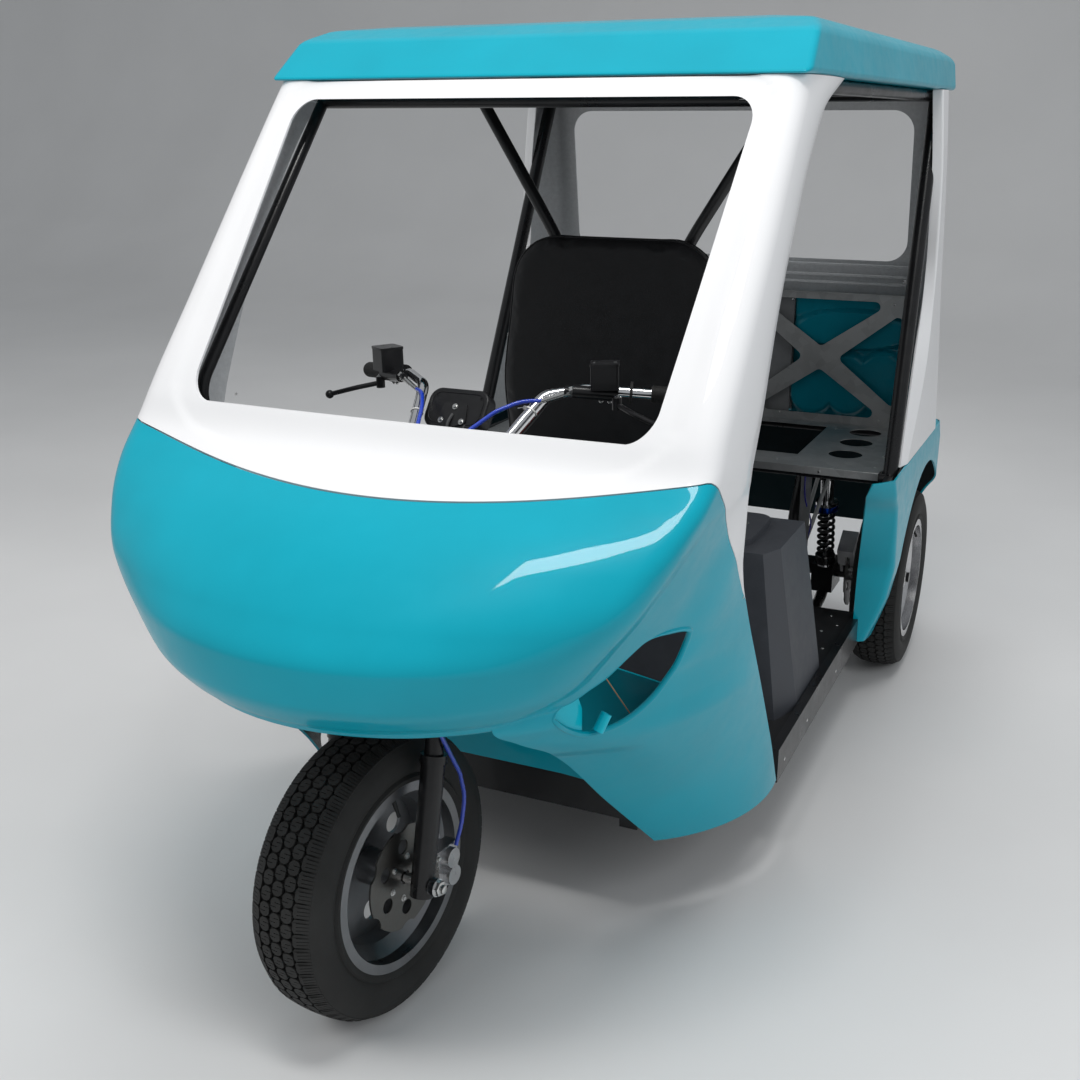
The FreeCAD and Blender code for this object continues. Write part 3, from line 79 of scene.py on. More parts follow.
class Nodes:
    """Short calls to build one material's nodes."""

    def __init__(self, name):
        self.material = bpy.data.materials.new(name)
        self.material.use_nodes = True
        self.tree = self.material.node_tree
        self.place = self.add("ShaderNodeTexCoord").outputs["Object"]

    def add(self, kind, values=None, links=None, **settings):
        """A node with its settings, its sockets' values and what feeds them."""
        node = self.tree.nodes.new(kind)
        for key, value in settings.items():
            setattr(node, key, value)
        for key, value in (values or {}).items():
            node.inputs[key].default_value = value
        for key, source in (links or {}).items():
            self.tree.links.new(source, node.inputs[key])
        return node

    def stretched(self, scale):
        """The object's coordinates, scaled unevenly."""
        return self.add("ShaderNodeMapping", {"Scale": scale},
                        {"Vector": self.place}).outputs["Vector"]

    def noise(self, scale, detail=3.0, rough=0.5, vector=None):
        return self.add("ShaderNodeTexNoise", {"Scale": scale, "Detail": detail, "Roughness": rough},
                        {"Vector": vector or self.place}).outputs["Fac"]

    def cells(self, scale, feature="F1", output="Distance"):
        return self.add("ShaderNodeTexVoronoi", {"Scale": scale}, {"Vector": self.place},
                        feature=feature).outputs[output]

    def ramp(self, source, start, first, end, last):
        """A colour that goes from the first to the last as the source goes from start to end."""
        node = self.add("ShaderNodeValToRGB", links={"Fac": source})
        for element, place, color in zip(node.color_ramp.elements, (start, end), (first, last)):
            element.position = place
            element.color = (*color, 1.0)
        return node.outputs["Color"]

    def range(self, source, low, high, start=0.3, end=0.7):
        return self.add("ShaderNodeMapRange", {"From Min": start, "From Max": end, "To Min": low,
                                               "To Max": high}, {"Value": source}).outputs["Result"]

    def bump(self, height, strength, distance, normal=None):
        links = {"Height": height, "Normal": normal} if normal else {"Height": height}
        return self.add("ShaderNodeBump", {"Strength": strength, "Distance": distance},
                        links).outputs["Normal"]

    def shade(self, source, color, spread):
        """A colour that varies a little, lighter and darker, with a texture."""
        dark = [channel * (1 - spread) for channel in color]
        light = [min(channel * (1 + spread), 1.0) for channel in color]
        return self.ramp(source, 0.3, dark, 0.7, light)

    def finish(self, tone, rough, normal, **flat):
        """The shader's textures, and its plain numbers by their short names."""
        shader = self.tree.nodes["Principled BSDF"].inputs
        for key, (socket, plain) in SHADER_SOCKETS.items():
            shader[socket].default_value = flat.get(key, plain)
        for socket, source in (("Base Color", tone), ("Roughness", rough), ("Normal", normal)):
            if source is not None:
                self.tree.links.new(source, shader[socket])
        return self.material


def gelcoat(name, color, spread=0.05):
    """Glossy moulded shell: slow waves of the mould, fine orange peel, a clear coat."""
    make = Nodes(name)
    tone = make.shade(make.noise(3.5, 4.0, 0.55), color, spread)
    normal = make.bump(make.noise(2.2, 2.0, 0.4), 0.08, 0.02)
    normal = make.bump(make.noise(420.0, 2.0, 0.5), 0.02, 0.0003, normal)
    rough = make.range(make.noise(28.0, 5.0, 0.6), 0.30, 0.42)
    return make.finish(tone, rough, normal, coat=0.45, coat_rough=0.02, ior=1.4, specular=0.15)


def glass_fibre(name, color):
    """The brushed-on inner side of a moulded shell."""
    make = Nodes(name)
    strands = make.noise(90.0, 6.0, 0.7)
    normal = make.bump(strands, 0.5, 0.001)
    normal = make.bump(make.noise(18.0, 3.0, 0.5), 0.4, 0.004, normal)
    return make.finish(make.shade(strands, color, 0.10), make.range(strands, 0.35, 0.6), normal)


def powder_coat(name, color, rough=0.28):
    make = Nodes(name)
    dust = make.noise(9.0, 6.0, 0.65)
    tone = make.ramp(dust, 0.45, color, 0.8, [channel + 0.009 for channel in color])
    return make.finish(tone, make.range(dust, rough, rough + 0.14),
                       make.bump(make.noise(900.0, 2.0, 0.5), 0.12, 0.0004),
                       coat=0.2, coat_rough=0.08, specular=0.3)


def cast_metal(name, color, rough=0.4):
    make = Nodes(name)
    stain = make.noise(14.0, 4.0, 0.6)
    return make.finish(make.shade(stain, color, 0.14), make.range(stain, rough - 0.08, rough + 0.12),
                       make.bump(make.noise(260.0, 5.0, 0.65), 0.35, 0.0008), metal=1.0)


def polished(name, color, rough=0.08, brushed=(1.0, 1.0, 1.0), streak=0.0):
    make = Nodes(name)
    lines = make.noise(60.0, 6.0, 0.6, make.stretched(brushed))
    return make.finish(make.shade(lines, color, 0.06),
                       make.range(make.noise(11.0, 4.0, 0.6), rough, rough + 0.1),
                       make.bump(lines, streak, 0.0004), metal=1.0)


def galvanised(name):
    """Zinc spangle: pale crystals of uneven size, each turned its own way."""
    make = Nodes(name)
    split = make.add("ShaderNodeSeparateColor", links={"Color": make.cells(34.0, output="Color")})
    red, green = split.outputs["Red"], split.outputs["Green"]
    tone = make.ramp(red, 0.0, (0.46, 0.47, 0.47), 1.0, (0.55, 0.56, 0.56))
    rough = make.add("ShaderNodeMath", links={0: make.range(green, 0.36, 0.44, 0.0, 1.0),
                                              1: make.range(make.noise(5.0, 5.0, 0.6), 0.0, 0.12)})
    edges = make.add("ShaderNodeMath", {1: 4.0}, {0: make.cells(34.0, "DISTANCE_TO_EDGE")},
                     operation="MULTIPLY")
    return make.finish(tone, rough.outputs[0], make.bump(edges.outputs[0], 0.12, 0.0005), metal=0.9)


def moulded_plastic(name, color, rough=0.5, grain_scale=700.0, grain=0.25):
    make = Nodes(name)
    scuff = make.noise(16.0, 6.0, 0.7)
    tone = make.ramp(scuff, 0.4, color, 0.78, [channel * 1.25 + 0.004 for channel in color])
    return make.finish(tone, make.range(scuff, rough, rough + 0.16),
                       make.bump(make.cells(grain_scale), grain, 0.0006))


def leather_cloth(name, color):
    """Black vinyl: pebbled grain over slow creases."""
    make = Nodes(name)
    creases = make.noise(24.0, 5.0, 0.6)
    normal = make.bump(make.cells(520.0, "SMOOTH_F1"), 0.35, 0.0008)
    return make.finish(make.shade(creases, color, 0.25), make.range(creases, 0.42, 0.58),
                       make.bump(creases, 0.12, 0.003, normal), sheen=0.02, specular=0.35)


def rubber(name, color, rough=0.7, grain=0.3):
    make = Nodes(name)
    dust = make.noise(7.0, 6.0, 0.65)
    tone = make.ramp(dust, 0.42, color, 0.75, [channel + 0.016 for channel in color])
    return make.finish(tone, make.range(dust, rough, rough + 0.15),
                       make.bump(make.noise(380.0, 4.0, 0.6), grain, 0.0006))


def braided_hose(name):
    """Woven steel braid under a clear blue jacket."""
    make = Nodes(name)
    braid = make.add("ShaderNodeTexWave", {"Scale": 260.0, "Distortion": 1.5},
                     {"Vector": make.place}).outputs["Fac"]
    tone = make.ramp(braid, 0.3, (0.004, 0.025, 0.34), 0.8, (0.012, 0.07, 0.62))
    return make.finish(tone, None, make.bump(braid, 0.3, 0.0004), coat=1.0, flat_rough=0.35)


def plain_floor(name):
    make = Nodes(name)
    cloud = make.noise(0.8, 4.0, 0.55)
    return make.finish(make.shade(cloud, (0.68, 0.68, 0.68), 0.03), make.range(cloud, 0.55, 0.68),
                       make.bump(make.noise(140.0, 3.0, 0.6), 0.06, 0.001))


MATERIALS = {name: make_material(name, *values) for name, make_material, *values in (
    # name, kind, and what that kind takes
    ("white_paint", gelcoat, WHITE_LINEAR, 0.012),
    ("teal_paint", gelcoat, TEAL_LINEAR, 0.06),
    ("floor_sheet", powder_coat, (0.014, 0.014, 0.015), 0.4),
    ("black_frame", powder_coat, (0.009, 0.009, 0.01), 0.24),
    ("cast_alloy", cast_metal, (0.42, 0.42, 0.43), 0.38),
    ("galvanised", galvanised),
    ("box_plastic", moulded_plastic, (0.045, 0.049, 0.058), 0.48, 620.0, 0.3),
    ("vinyl", leather_cloth, (0.008, 0.008, 0.009)),
    ("chrome", polished, (0.78, 0.78, 0.79), 0.05),
    ("black_fork", powder_coat, (0.007, 0.007, 0.008), 0.2),
    ("grip_rubber", rubber, (0.011, 0.011, 0.011), 0.62, 0.4),
    ("tyre", rubber, (0.0095, 0.0095, 0.009), 0.68, 0.35),
    ("rim_grey", cast_metal, (0.27, 0.275, 0.285), 0.34),
    ("disc_steel", polished, (0.17, 0.165, 0.155), 0.26, (1.0, 14.0, 1.0), 0.2),
    ("blue_hose", braided_hose),
    ("display_plastic", moulded_plastic, (0.004, 0.004, 0.005), 0.3, 900.0, 0.1),
    ("spring_black", powder_coat, (0.008, 0.008, 0.009), 0.22),
    ("caliper_alloy", cast_metal, (0.56, 0.56, 0.57), 0.3),
    ("control_black", powder_coat, (0.008, 0.008, 0.009), 0.26),
    # finishes that only this scene's own pieces have
    ("inner_white", glass_fibre, (0.58, 0.59, 0.60)),
    # near-black copy of the teal paint: painted shade inside the nose and the tail
    ("inner_teal", glass_fibre, (0.001, 0.014, 0.018)),
    # near-black inner side of the roof: painted shade under the roof
    ("inner_roof", powder_coat, (0.011, 0.012, 0.013), 0.5),
    # lighter copy of the teal paint: painted light on the lamp mounts inside the eyes
    ("inner_bright", gelcoat, (0.0, 0.52, 0.66), 0.05),
    ("inner_grey", moulded_plastic, (0.16, 0.165, 0.17), 0.5, 700.0, 0.1),
    # darker copy of the teal paint: painted shade behind the panel's openings
    ("liner_teal", gelcoat, (0.002, 0.22, 0.30), 0.08),
    ("rim_bright", polished, (0.60, 0.60, 0.61), 0.16),
    ("zinc", polished, (0.62, 0.62, 0.61), 0.22),
    ("blue_collar", polished, (0.004, 0.035, 0.24), 0.2),
    ("tie_white", moulded_plastic, (0.66, 0.66, 0.64), 0.4, 900.0, 0.05),
    ("red_lead", moulded_plastic, (0.42, 0.012, 0.008), 0.4, 900.0, 0.05),
    ("tan_lead", moulded_plastic, (0.42, 0.26, 0.12), 0.4, 900.0, 0.05),
    ("blue_lead", moulded_plastic, (0.012, 0.01, 0.30), 0.35, 900.0, 0.05),
    ("dark_grey", moulded_plastic, (0.05, 0.05, 0.052), 0.5, 900.0, 0.05),
    ("piping", leather_cloth, (0.010, 0.010, 0.011)),
    ("studio_floor", plain_floor),
)}




for node_name, node_object in frame["nodes"].items():
    node_object.data.materials.clear()
    bright = node_name in ("rear_rim_left", "rear_rim_right")
    node_object.data.materials.append(MATERIALS["rim_bright" if bright else slot_of[node_name]])


# Mesh helpers
@contextmanager
def editing(mesh):
    """A mesh as a bmesh that is written back at the end."""
    work = bmesh.new()
    work.from_mesh(mesh)
    yield work
    work.to_mesh(mesh)
    work.free()


def smooth_by_angle(mesh, degrees=38.0):
    """Smooth shading with sharp edges where faces meet at more than an angle."""
    with editing(mesh) as work:
        for face in work.faces:
            face.smooth = True
        for edge in work.edges:
            if len(edge.link_faces) == 2:
                edge.smooth = edge.calc_face_angle(0.0) < math.radians(degrees)


def outward(mesh):
    """Turns a closed mesh's faces outward."""
    with editing(mesh) as work:
        bmesh.ops.recalc_face_normals(work, faces=work.faces)


def set_up(target, **values):
    """Gives a modifier, or another thing of Blender's, its values."""
    for key, value in values.items():
        setattr(target, key, value)


def circle(count, phase=0.0):
    """The cosine and sine of evenly spread angles."""
    angles = (2 * math.pi * k / count + phase for k in range(count))
    return [(math.cos(angle), math.sin(angle)) for angle in angles]


def piece(name, points, faces, material, body="root", sharp=38.0):
    """A mesh object at the origin that rides on a body."""
    mesh = bpy.data.meshes.new(name)
    mesh.from_pydata([tuple(point) for point in points], [], faces)
    mesh.materials.append(MATERIALS[material])
    mesh.validate()
    smooth_by_angle(mesh, sharp)
    made = bpy.data.objects.new(name, mesh)
    bpy.context.scene.collection.objects.link(made)
    if body:
        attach(made, body)
    return made


def grid_faces(rows, columns, closed=False, start=0):
    """Quads between rows of points; closed joins each row's last point to its first."""
    faces = []
    for low in range(start, start + (rows - 1) * columns, columns):
        for column in range(columns if closed else columns - 1):
            following = (column + 1) % columns
            high = low + columns
            faces.append((low + column, low + following, high + following, high + column))
    return faces


def ends(points, sides):
    """The flat faces at both ends of a row of rings."""
    return [tuple(range(sides)), tuple(len(points) - 1 - k for k in range(sides))]


def apply_modifiers(obj):
    """Bakes the modifiers into the mesh."""
    graph = bpy.context.evaluated_depsgraph_get()
    mesh = bpy.data.meshes.new_from_object(obj.evaluated_get(graph))
    old = obj.data
    obj.modifiers.clear()
    obj.data = mesh
    bpy.data.meshes.remove(old)


def thicken(obj, wall, inner=None):
    """Gives a skin its wall on the inner side, with the inner material there."""
    if inner is not None:
        obj.data.materials.append(MATERIALS[inner])
    set_up(obj.modifiers.new("wall", "SOLIDIFY"), thickness=wall, offset=-1.0, use_even_offset=True,
           use_rim=True, material_offset=0 if inner is None else 1, material_offset_rim=0)
    apply_modifiers(obj)


def cut(obj, points, faces):
    """Cuts an object with a closed mesh that is thrown away."""
    mesh = bpy.data.meshes.new("cutter")
    mesh.from_pydata([tuple(point) for point in points], [], faces)
    outward(mesh)
    cutter = bpy.data.objects.new("cutter", mesh)
    bpy.context.scene.collection.objects.link(cutter)
    set_up(obj.modifiers.new("cut", "BOOLEAN"), operation="DIFFERENCE", object=cutter,
           solver="EXACT")
    apply_modifiers(obj)
    bpy.data.objects.remove(cutter)
    bpy.data.meshes.remove(mesh)


def prism(outline, push):
    """A closed outline pushed along a direction, as points and faces."""
    count = len(outline)
    outline = [Vector(point) for point in outline]
    faces = [tuple(range(count)), tuple(range(2 * count - 1, count - 1, -1))]
    faces += [(k, k + count, (k + 1) % count + count, (k + 1) % count) for k in range(count)]
    return outline + [point + Vector(push) for point in outline], faces


def rounded(corners, steps=8, closed=True):
    """A flat outline in 2-D: each corner is (x, y, radius)."""
    count = len(corners)
    points = []
    for index, (x, y, radius) in enumerate(corners):
        here = np.array([x, y], float)
        if radius <= 0 or (not closed and index in (0, count - 1)):
            points.append(here)
            continue
        before = np.array(corners[index - 1][:2], float) - here
        after = np.array(corners[(index + 1) % count][:2], float) - here
        before /= np.linalg.norm(before)
        after /= np.linalg.norm(after)
        half = math.acos(max(-1.0, min(1.0, float(before @ after)))) / 2
        reach = radius / math.tan(half)
        centre = here + (before + after) / np.linalg.norm(before + after) * radius / math.sin(half)
        start, end = here + before * reach - centre, here + after * reach - centre
        first = math.atan2(start[1], start[0])
        turn = (math.atan2(end[1], end[0]) - first + math.pi) % (2 * math.pi) - math.pi
        points += [centre + radius * np.array([math.cos(angle), math.sin(angle)])
                   for angle in np.linspace(first, first + turn, steps + 1)]
    return np.array(points)


class Bundle:
    """Several small parts that make one mesh, given in metres before an optional move."""

    def __init__(self, move=None):
        self.points, self.faces, self.move = [], [], move or Matrix.Identity(4)

    def add(self, points, faces):
        start = len(self.points)
        self.points += [self.move @ Vector(point) for point in points]
        self.faces += [tuple(start + k for k in face) for face in faces]

    def lathe(self, origin, axis, profile, sides=20):
        """A turned form; profile rows are the distance along the axis and the radius, in mm."""
        axis = Vector(axis).normalized()
        across = axis.orthogonal().normalized()
        other = axis.cross(across)
        points = [Vector(origin) + axis * (along / 1000) + (across * c + other * s) * (radius / 1000)
                  for along, radius in profile for c, s in circle(sides)]
        self.add(points, grid_faces(len(profile), sides, closed=True) + ends(points, sides))

    def tube(self, path, radius, sides=10, closed=False):
        """A round strand along places; radius in mm, one number or one a place."""
        path = [Vector(spot) for spot in path]
        count = len(path)
        radii = [radius] * count if isinstance(radius, (int, float)) else radius
        points, across = [], None
        for k, spot in enumerate(path):
            after = path[(k + 1) % count] if closed else path[min(k + 1, count - 1)]
            before = path[k - 1] if closed else path[max(k - 1, 0)]
            run = (after - before).normalized()
            across = run.orthogonal() if across is None else across - run * across.dot(run)
            across.normalize()
            other = run.cross(across)
            points += [spot + (across * c + other * s) * (radii[k] / 1000) for c, s in circle(sides)]
        faces = grid_faces(count, sides, closed=True)
        last = (count - 1) * sides
        faces += ([(last + k, last + (k + 1) % sides, (k + 1) % sides, k) for k in range(sides)]
                  if closed else ends(points, sides))
        self.add(points, faces)

    def brick(self, low, high):
        points = [(x, y, z) for x in (low[0], high[0]) for y in (low[1], high[1])
                  for z in (low[2], high[2])]
        self.add(points, [(0, 1, 3, 2), (4, 6, 7, 5), (0, 4, 5, 1), (2, 3, 7, 6), (0, 2, 6, 4),
                          (1, 5, 7, 3)])

    def rivet(self, spot, normal, radius=4.0, height=1.8):
        self.lathe(spot, normal, [(-1, radius), (0.2, radius), (height * 0.7, radius * 0.8),
                                  (height, radius * 0.3)], 14)

    def bolt(self, spot, normal, radius=5.5, height=5.0):
        self.lathe(spot, normal, [(-1, radius * 1.45), (1.0, radius * 1.45), (1.1, radius * 1.3)], 20)
        self.lathe(spot, normal, [(0.9, radius), (height, radius), (height + 0.6, radius * 0.86)], 6)

    def make(self, name, material, slot, body="root", sharp=35.0):
        made = piece(name, self.points, self.faces, material, body, sharp)
        outward(made.data)
        smooth_by_angle(made.data, sharp)
        return made


def steady(xs, ys, x):
    """Monotone cubic through a table's points, at each x."""
    xs, ys = np.asarray(xs, float), np.asarray(ys, float)
    gaps, slopes = np.diff(xs), np.diff(ys) / np.diff(xs)
    tangents = np.zeros(len(xs))
    tangents[0], tangents[-1] = slopes[0], slopes[-1]
    for index in range(1, len(xs) - 1):
        low, high = slopes[index - 1], slopes[index]
        if low * high > 0:
            first, second = 2 * gaps[index] + gaps[index - 1], gaps[index] + 2 * gaps[index - 1]
            tangents[index] = (first + second) / (first / low + second / high)
    place = np.clip(np.searchsorted(xs, x) - 1, 0, len(gaps) - 1)
    t = (x - xs[place]) / gaps[place]
    return ((2 * t**3 - 3 * t**2 + 1) * ys[place] + (t**3 - 2 * t**2 + t) * gaps[place]
            * tangents[place] + (3 * t**2 - 2 * t**3) * ys[place + 1]
            + (t**3 - t**2) * gaps[place] * tangents[place + 1])


def flowing(spots, per=6, closed=False):
    """A smooth line through places."""
    spots = [Vector(spot) for spot in spots]
    count = len(spots)
    line = []
    for k in range(count if closed else count - 1):
        a, b, c, d = (spots[(k + shift) % count if closed else min(max(k + shift, 0), count - 1)]
                      for shift in (-1, 0, 1, 2))
        for t in np.arange(per) / per:
            line.append(0.5 * ((2 * b) + (c - a) * t + (2 * a - 5 * b + 4 * c - d) * t * t
                               + (3 * b - a - 3 * c + d) * t ** 3))
    return line if closed else line + [spots[-1]]


def soft_step(low, high, value):
    t = np.clip((value - low) / (high - low), 0, 1)
    return t * t * (3 - 2 * t)


# Front shells
FRONT_SECTIONS = np.array((
    # height, nose station, crease x and station, side x and station, door edge x and station
    (190, -236, 392, 430, 500, 548, 553, 785),
    (356, -236, 351, 266, 486, 430, 559, 674),
    (556, -236, 331, 45, 490, 240, 560, 541),
    (612, -236, 312, -45, 471, 176, 560, 503),
    (668, -236, 300, -116, 452, 104, 560, 465),
    (690, -262, 335, -112, 462, 95, 560, 451),
    (731, -286, 389, -106, 480, 85, 561, 423),
    (790, -284, 438, -97, 510, 70, 563, 384),
    (849, -240, 486, -81, 535, 60, 565, 366),
    (926, -143, 535, -26, 562, 100, 568, 366),
    (965, -80, 556, 12, 572, 130, 570, 366),
    (1003, -2, 572, 55, 581, 165, 572, 369),
    (1049, 90, 581, 108, 585, 200, 574, 385),
    (1098, 128, 576, 142, 585, 230, 575, 408),
    (1256, 261, 571, 275, 582, 350, 573, 485),
    (1393, 377, 568, 391, 579, 455, 571, 571),
    (1550, 509, 564, 523, 575, 590, 569, 696),
    (1615, 564, 562, 578, 574, 650, 569, 770),
    (1670, 610, 560, 624, 573, 720, 569, 927),
), float)
SHIELD_FOOT = 190.0
LIP_HEIGHT = 668.0
ROOF_HEIGHT = 1670.0
SIDE_STEPS, TURN_STEPS, FACE_STEPS = 56, 7, 90


def front_columns():
    """Each column of the front skin: which stretch it lies on, its side, how far along."""
    left = [(kind, 1, value) for kind, steps in (("side", SIDE_STEPS), ("turn", TURN_STEPS))
            for value in np.linspace(0, 1, steps, endpoint=False)]
    face = [("face", 1, value) for value in np.linspace(0, 1, FACE_STEPS)]
    return left + face + [(kind, -1, value) for kind, _, value in reversed(left)]


def relief(flat, crease, heights):
    """How far the side skin lies inside its smooth sections: under the brow, below the fold."""
    reach = np.linalg.norm(flat - crease, axis=1)
    rows = ((640, 700, 800, 860, 930, 985), (0, 13, 20, 18, 9, 0))
    brow = steady(*rows, np.clip(heights, rows[0][0], rows[0][-1]))
    hollow = brow * soft_step(0, 70, reach) * (1 - soft_step(190, 380, reach))
    below = 562 - 0.17 * (flat[:, 1] - 38) - heights
    ledge = 9 * soft_step(0, 26, below) * (1 - soft_step(60, 300, below))
    return hollow + ledge * (1 - soft_step(60, 190, reach))


def arc_at(first, middle, last, share):
    """Places at shares of the circular arcs through three points, one arc a row."""
    chord = last - first
    length = np.linalg.norm(chord, axis=1)
    along = chord / length[:, None]
    square = np.column_stack([-along[:, 1], along[:, 0]])
    reach = np.sum((middle - first) * along, axis=1)
    rise = np.sum((middle - first) * square, axis=1)
    rise = np.where(np.abs(rise) < 0.02, 0.02, rise)
    low = (reach * reach - reach * length + rise * rise) / (2 * rise)
    radius = np.hypot(length / 2, low)
    bulge = np.sign(rise)
    half = np.arctan2(length / 2, -low * bulge)
    angle = half * (2 * share - 1)
    place = length / 2 + radius * np.sin(angle)
    lift = low + radius * np.cos(angle) * bulge
    return first + along * place[:, None] + square * lift[:, None], 2 * half * radius


def front_line(column, heights):
    """Places of one column of the front skin, millimetres: x, station, height."""
    kind, sign, value = column
    rows = [steady(FRONT_SECTIONS[:, 0], FRONT_SECTIONS[:, k], heights) for k in range(1, 8)]
    crease, middle, edge = (np.column_stack(rows[k:k + 2]) for k in (1, 3, 5))
    far = crease * (-1, 1)
    tip = np.column_stack([np.zeros(len(heights)), rows[0]])
    radius = 40.0 * soft_step(LIP_HEIGHT, LIP_HEIGHT + 70, heights)
    on_side = radius / arc_at(edge, middle, crease, 1.0)[1]
    on_face = radius / arc_at(crease, tip, far, 0.0)[1]
    start = arc_at(edge, middle, crease, 1 - on_side)[0]
    if kind == "side":
        flat = arc_at(edge, middle, crease, value * (1 - on_side))[0]
        flat = flat + relief(flat, start, heights)[:, None] * (-0.9, 0.43)
    elif kind == "turn":
        end = arc_at(crease, tip, far, on_face)[0]
        flat = start * (1 - value) ** 2 + crease * 2 * value * (1 - value) + end * value ** 2
    else:
        flat = arc_at(crease, tip, far, on_face + value * (1 - 2 * on_face))[0]
    return np.column_stack([flat[:, 0] * sign, flat[:, 1], heights])


def split_height(x, station):
    """The height of the line between the white and the teal shell."""
    side = np.interp(station, (114, 240, 405, 900), (1050, 940, 750, 700))
    ahead = 995 + 55 * (x / 584) ** 2
    return np.where(station < 114, ahead, side)


# The windscreen opening from the front: its top and low edge, half widths, corners and bow
SCREEN_TOP, SCREEN_LOW = 1632.0, 1098.0
SCREEN_HALF_TOP, SCREEN_HALF_LOW = 491.0, 463.5
SCREEN_CORNER, SCREEN_BOW = 45.0, 49.0
RABBET_WIDTH, RABBET_DEPTH = 42.0, 3.5


def screen_low(x):
    """The height of the opening's lower edge, bowed down at its middle."""
    return SCREEN_LOW - SCREEN_BOW * np.clip(1 - (x / 464) ** 2, 0, None)


def windscreen_outline():
    outline = rounded([(side * half, height, SCREEN_CORNER) for side, half, height in (
        (-1, SCREEN_HALF_TOP, SCREEN_TOP), (1, SCREEN_HALF_TOP, SCREEN_TOP),
        (1, SCREEN_HALF_LOW, SCREEN_LOW), (-1, SCREEN_HALF_LOW, SCREEN_LOW))], 10)
    low = outline[:, 1] < SCREEN_LOW + 80
    outline[low, 1] += screen_low(outline[low, 0]) - SCREEN_LOW
    return outline


def rabbet(spot):
    """How far the skin steps in beside the opening, by its distance outside the edge."""
    x, _, height = spot
    widening = (SCREEN_HALF_TOP - SCREEN_HALF_LOW) / (SCREEN_TOP - SCREEN_LOW)
    across = abs(x) - SCREEN_HALF_LOW - (height - SCREEN_LOW) * widening + SCREEN_CORNER
    along = max(height - SCREEN_TOP, screen_low(x) - height) + SCREEN_CORNER
    inside = across <= 0 and along <= 0
    reach = max(across, along) if inside else math.hypot(max(across, 0), max(along, 0))
    distance = reach - SCREEN_CORNER
    return -RABBET_DEPTH * float(1 - soft_step(RABBET_WIDTH - 5, RABBET_WIDTH + 5, distance))


def front_grid(columns, low, high, rows, shape=None):
    """Points of the front skin between two heights, which may differ by column."""
    grid = np.stack([front_line(column, np.linspace(low(column), high(column), rows))
                     for column in columns], axis=1)
    if shape is not None:
        normal = np.cross(np.gradient(grid, axis=0), np.gradient(grid, axis=1))
        normal /= np.linalg.norm(normal, axis=2, keepdims=True) + 1e-9
        grid += normal * np.apply_along_axis(shape, 2, grid)[:, :, None]
    return grid


def split_of(column):
    """The height at which a column crosses the paint line."""
    heights = np.linspace(LIP_HEIGHT, ROOF_HEIGHT, 600)
    line = front_line(column, heights)
    above = heights - split_height(line[:, 0], line[:, 1])
    k = int(np.argmax(above > 0))
    return heights[k - 1] + (heights[k] - heights[k - 1]) * above[k - 1] / (above[k - 1] - above[k])


def skin_of(made):
    """A mesh for finding the nearest place or a ray's first hit."""
    return BVHTree.FromPolygons([vertex.co.copy() for vertex in made.data.vertices],
                                [tuple(face.vertices) for face in made.data.polygons])


def to_row(grid):
    """A grid of places on the drawing as a row of places in metres."""
    flat = grid.reshape(-1, 3).copy()
    flat[:, 1] -= ORIGIN_BACK
    return flat / 1000


def face_outward(obj, centre):
    """Turns every face so that it looks away from a place inside the shell."""
    with editing(obj.data) as work:
        for face in work.faces:
            face.normal_update()
            away = face.calc_center_median() - centre
            if face.normal.dot(Vector((away.x, away.y, away.z * 0.3))) < 0:
                face.normal_flip()


def even_shading(obj):
    """Large flat faces keep a flat shade beside their rounded edges."""
    set_up(obj.modifiers.new("shade", "WEIGHTED_NORMAL"), keep_sharp=True, weight=80)


COLUMNS = front_columns()
SPLITS = {column: split_of(column) for column in COLUMNS}


def white_shell():
    """The white surround of the windscreen with its rabbet and its opening."""
    grid = front_grid(COLUMNS, lambda c: SPLITS[c] + 1.0, lambda c: ROOF_HEIGHT - 1.0, 110, rabbet)
    made = piece("windscreen_surround", to_row(grid), grid_faces(*grid.shape[:2]), "white_paint")
    face_outward(made, at(0, 620, 1200))
    thicken(made, SKIN, "inner_white")
    cut(made, *prism([at(x, -400, z) for x, z in windscreen_outline()], (0, 1.6, 0)))
    smooth_by_angle(made.data, 32)
    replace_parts(made, "windscreen_frame")


EYE_PLACES = (
    # distance across the slanted plane and height, clockwise from the heel
    (-9, 659), (-5, 652), (7, 639), (22, 625), (41, 611), (58, 602), (73, 597), (99, 597), (123, 600),
    (147, 607), (166, 616), (195, 635), (219, 657), (241, 688), (255, 715), (263, 736), (264, 753),
    (261, 759), (251, 765), (234, 770), (207, 775), (172, 779), (148, 776), (132, 766), (111, 749),
    (95, 735), (78, 722), (50, 707), (34, 696), (20, 687), (6, 681), (-4, 670),
)
EYE_BACK = 60.0
EYE_LINE = flowing([(*place, 0) for place in EYE_PLACES], 3, closed=True)


def eye_spot(reach, height, sign, back=0.0):
    """A place on the slanted plane in front of the left or right eye, moved back by so much."""
    across = Vector((1, 1, 0)).normalized()
    inward = Vector((-1, 1, 0)).normalized()
    spot = at(355 + EYE_BACK, -EYE_BACK, height) + across * (reach / 1000) + inward * (back / 1000)
    return Vector((spot.x * sign, spot.y, spot.z))


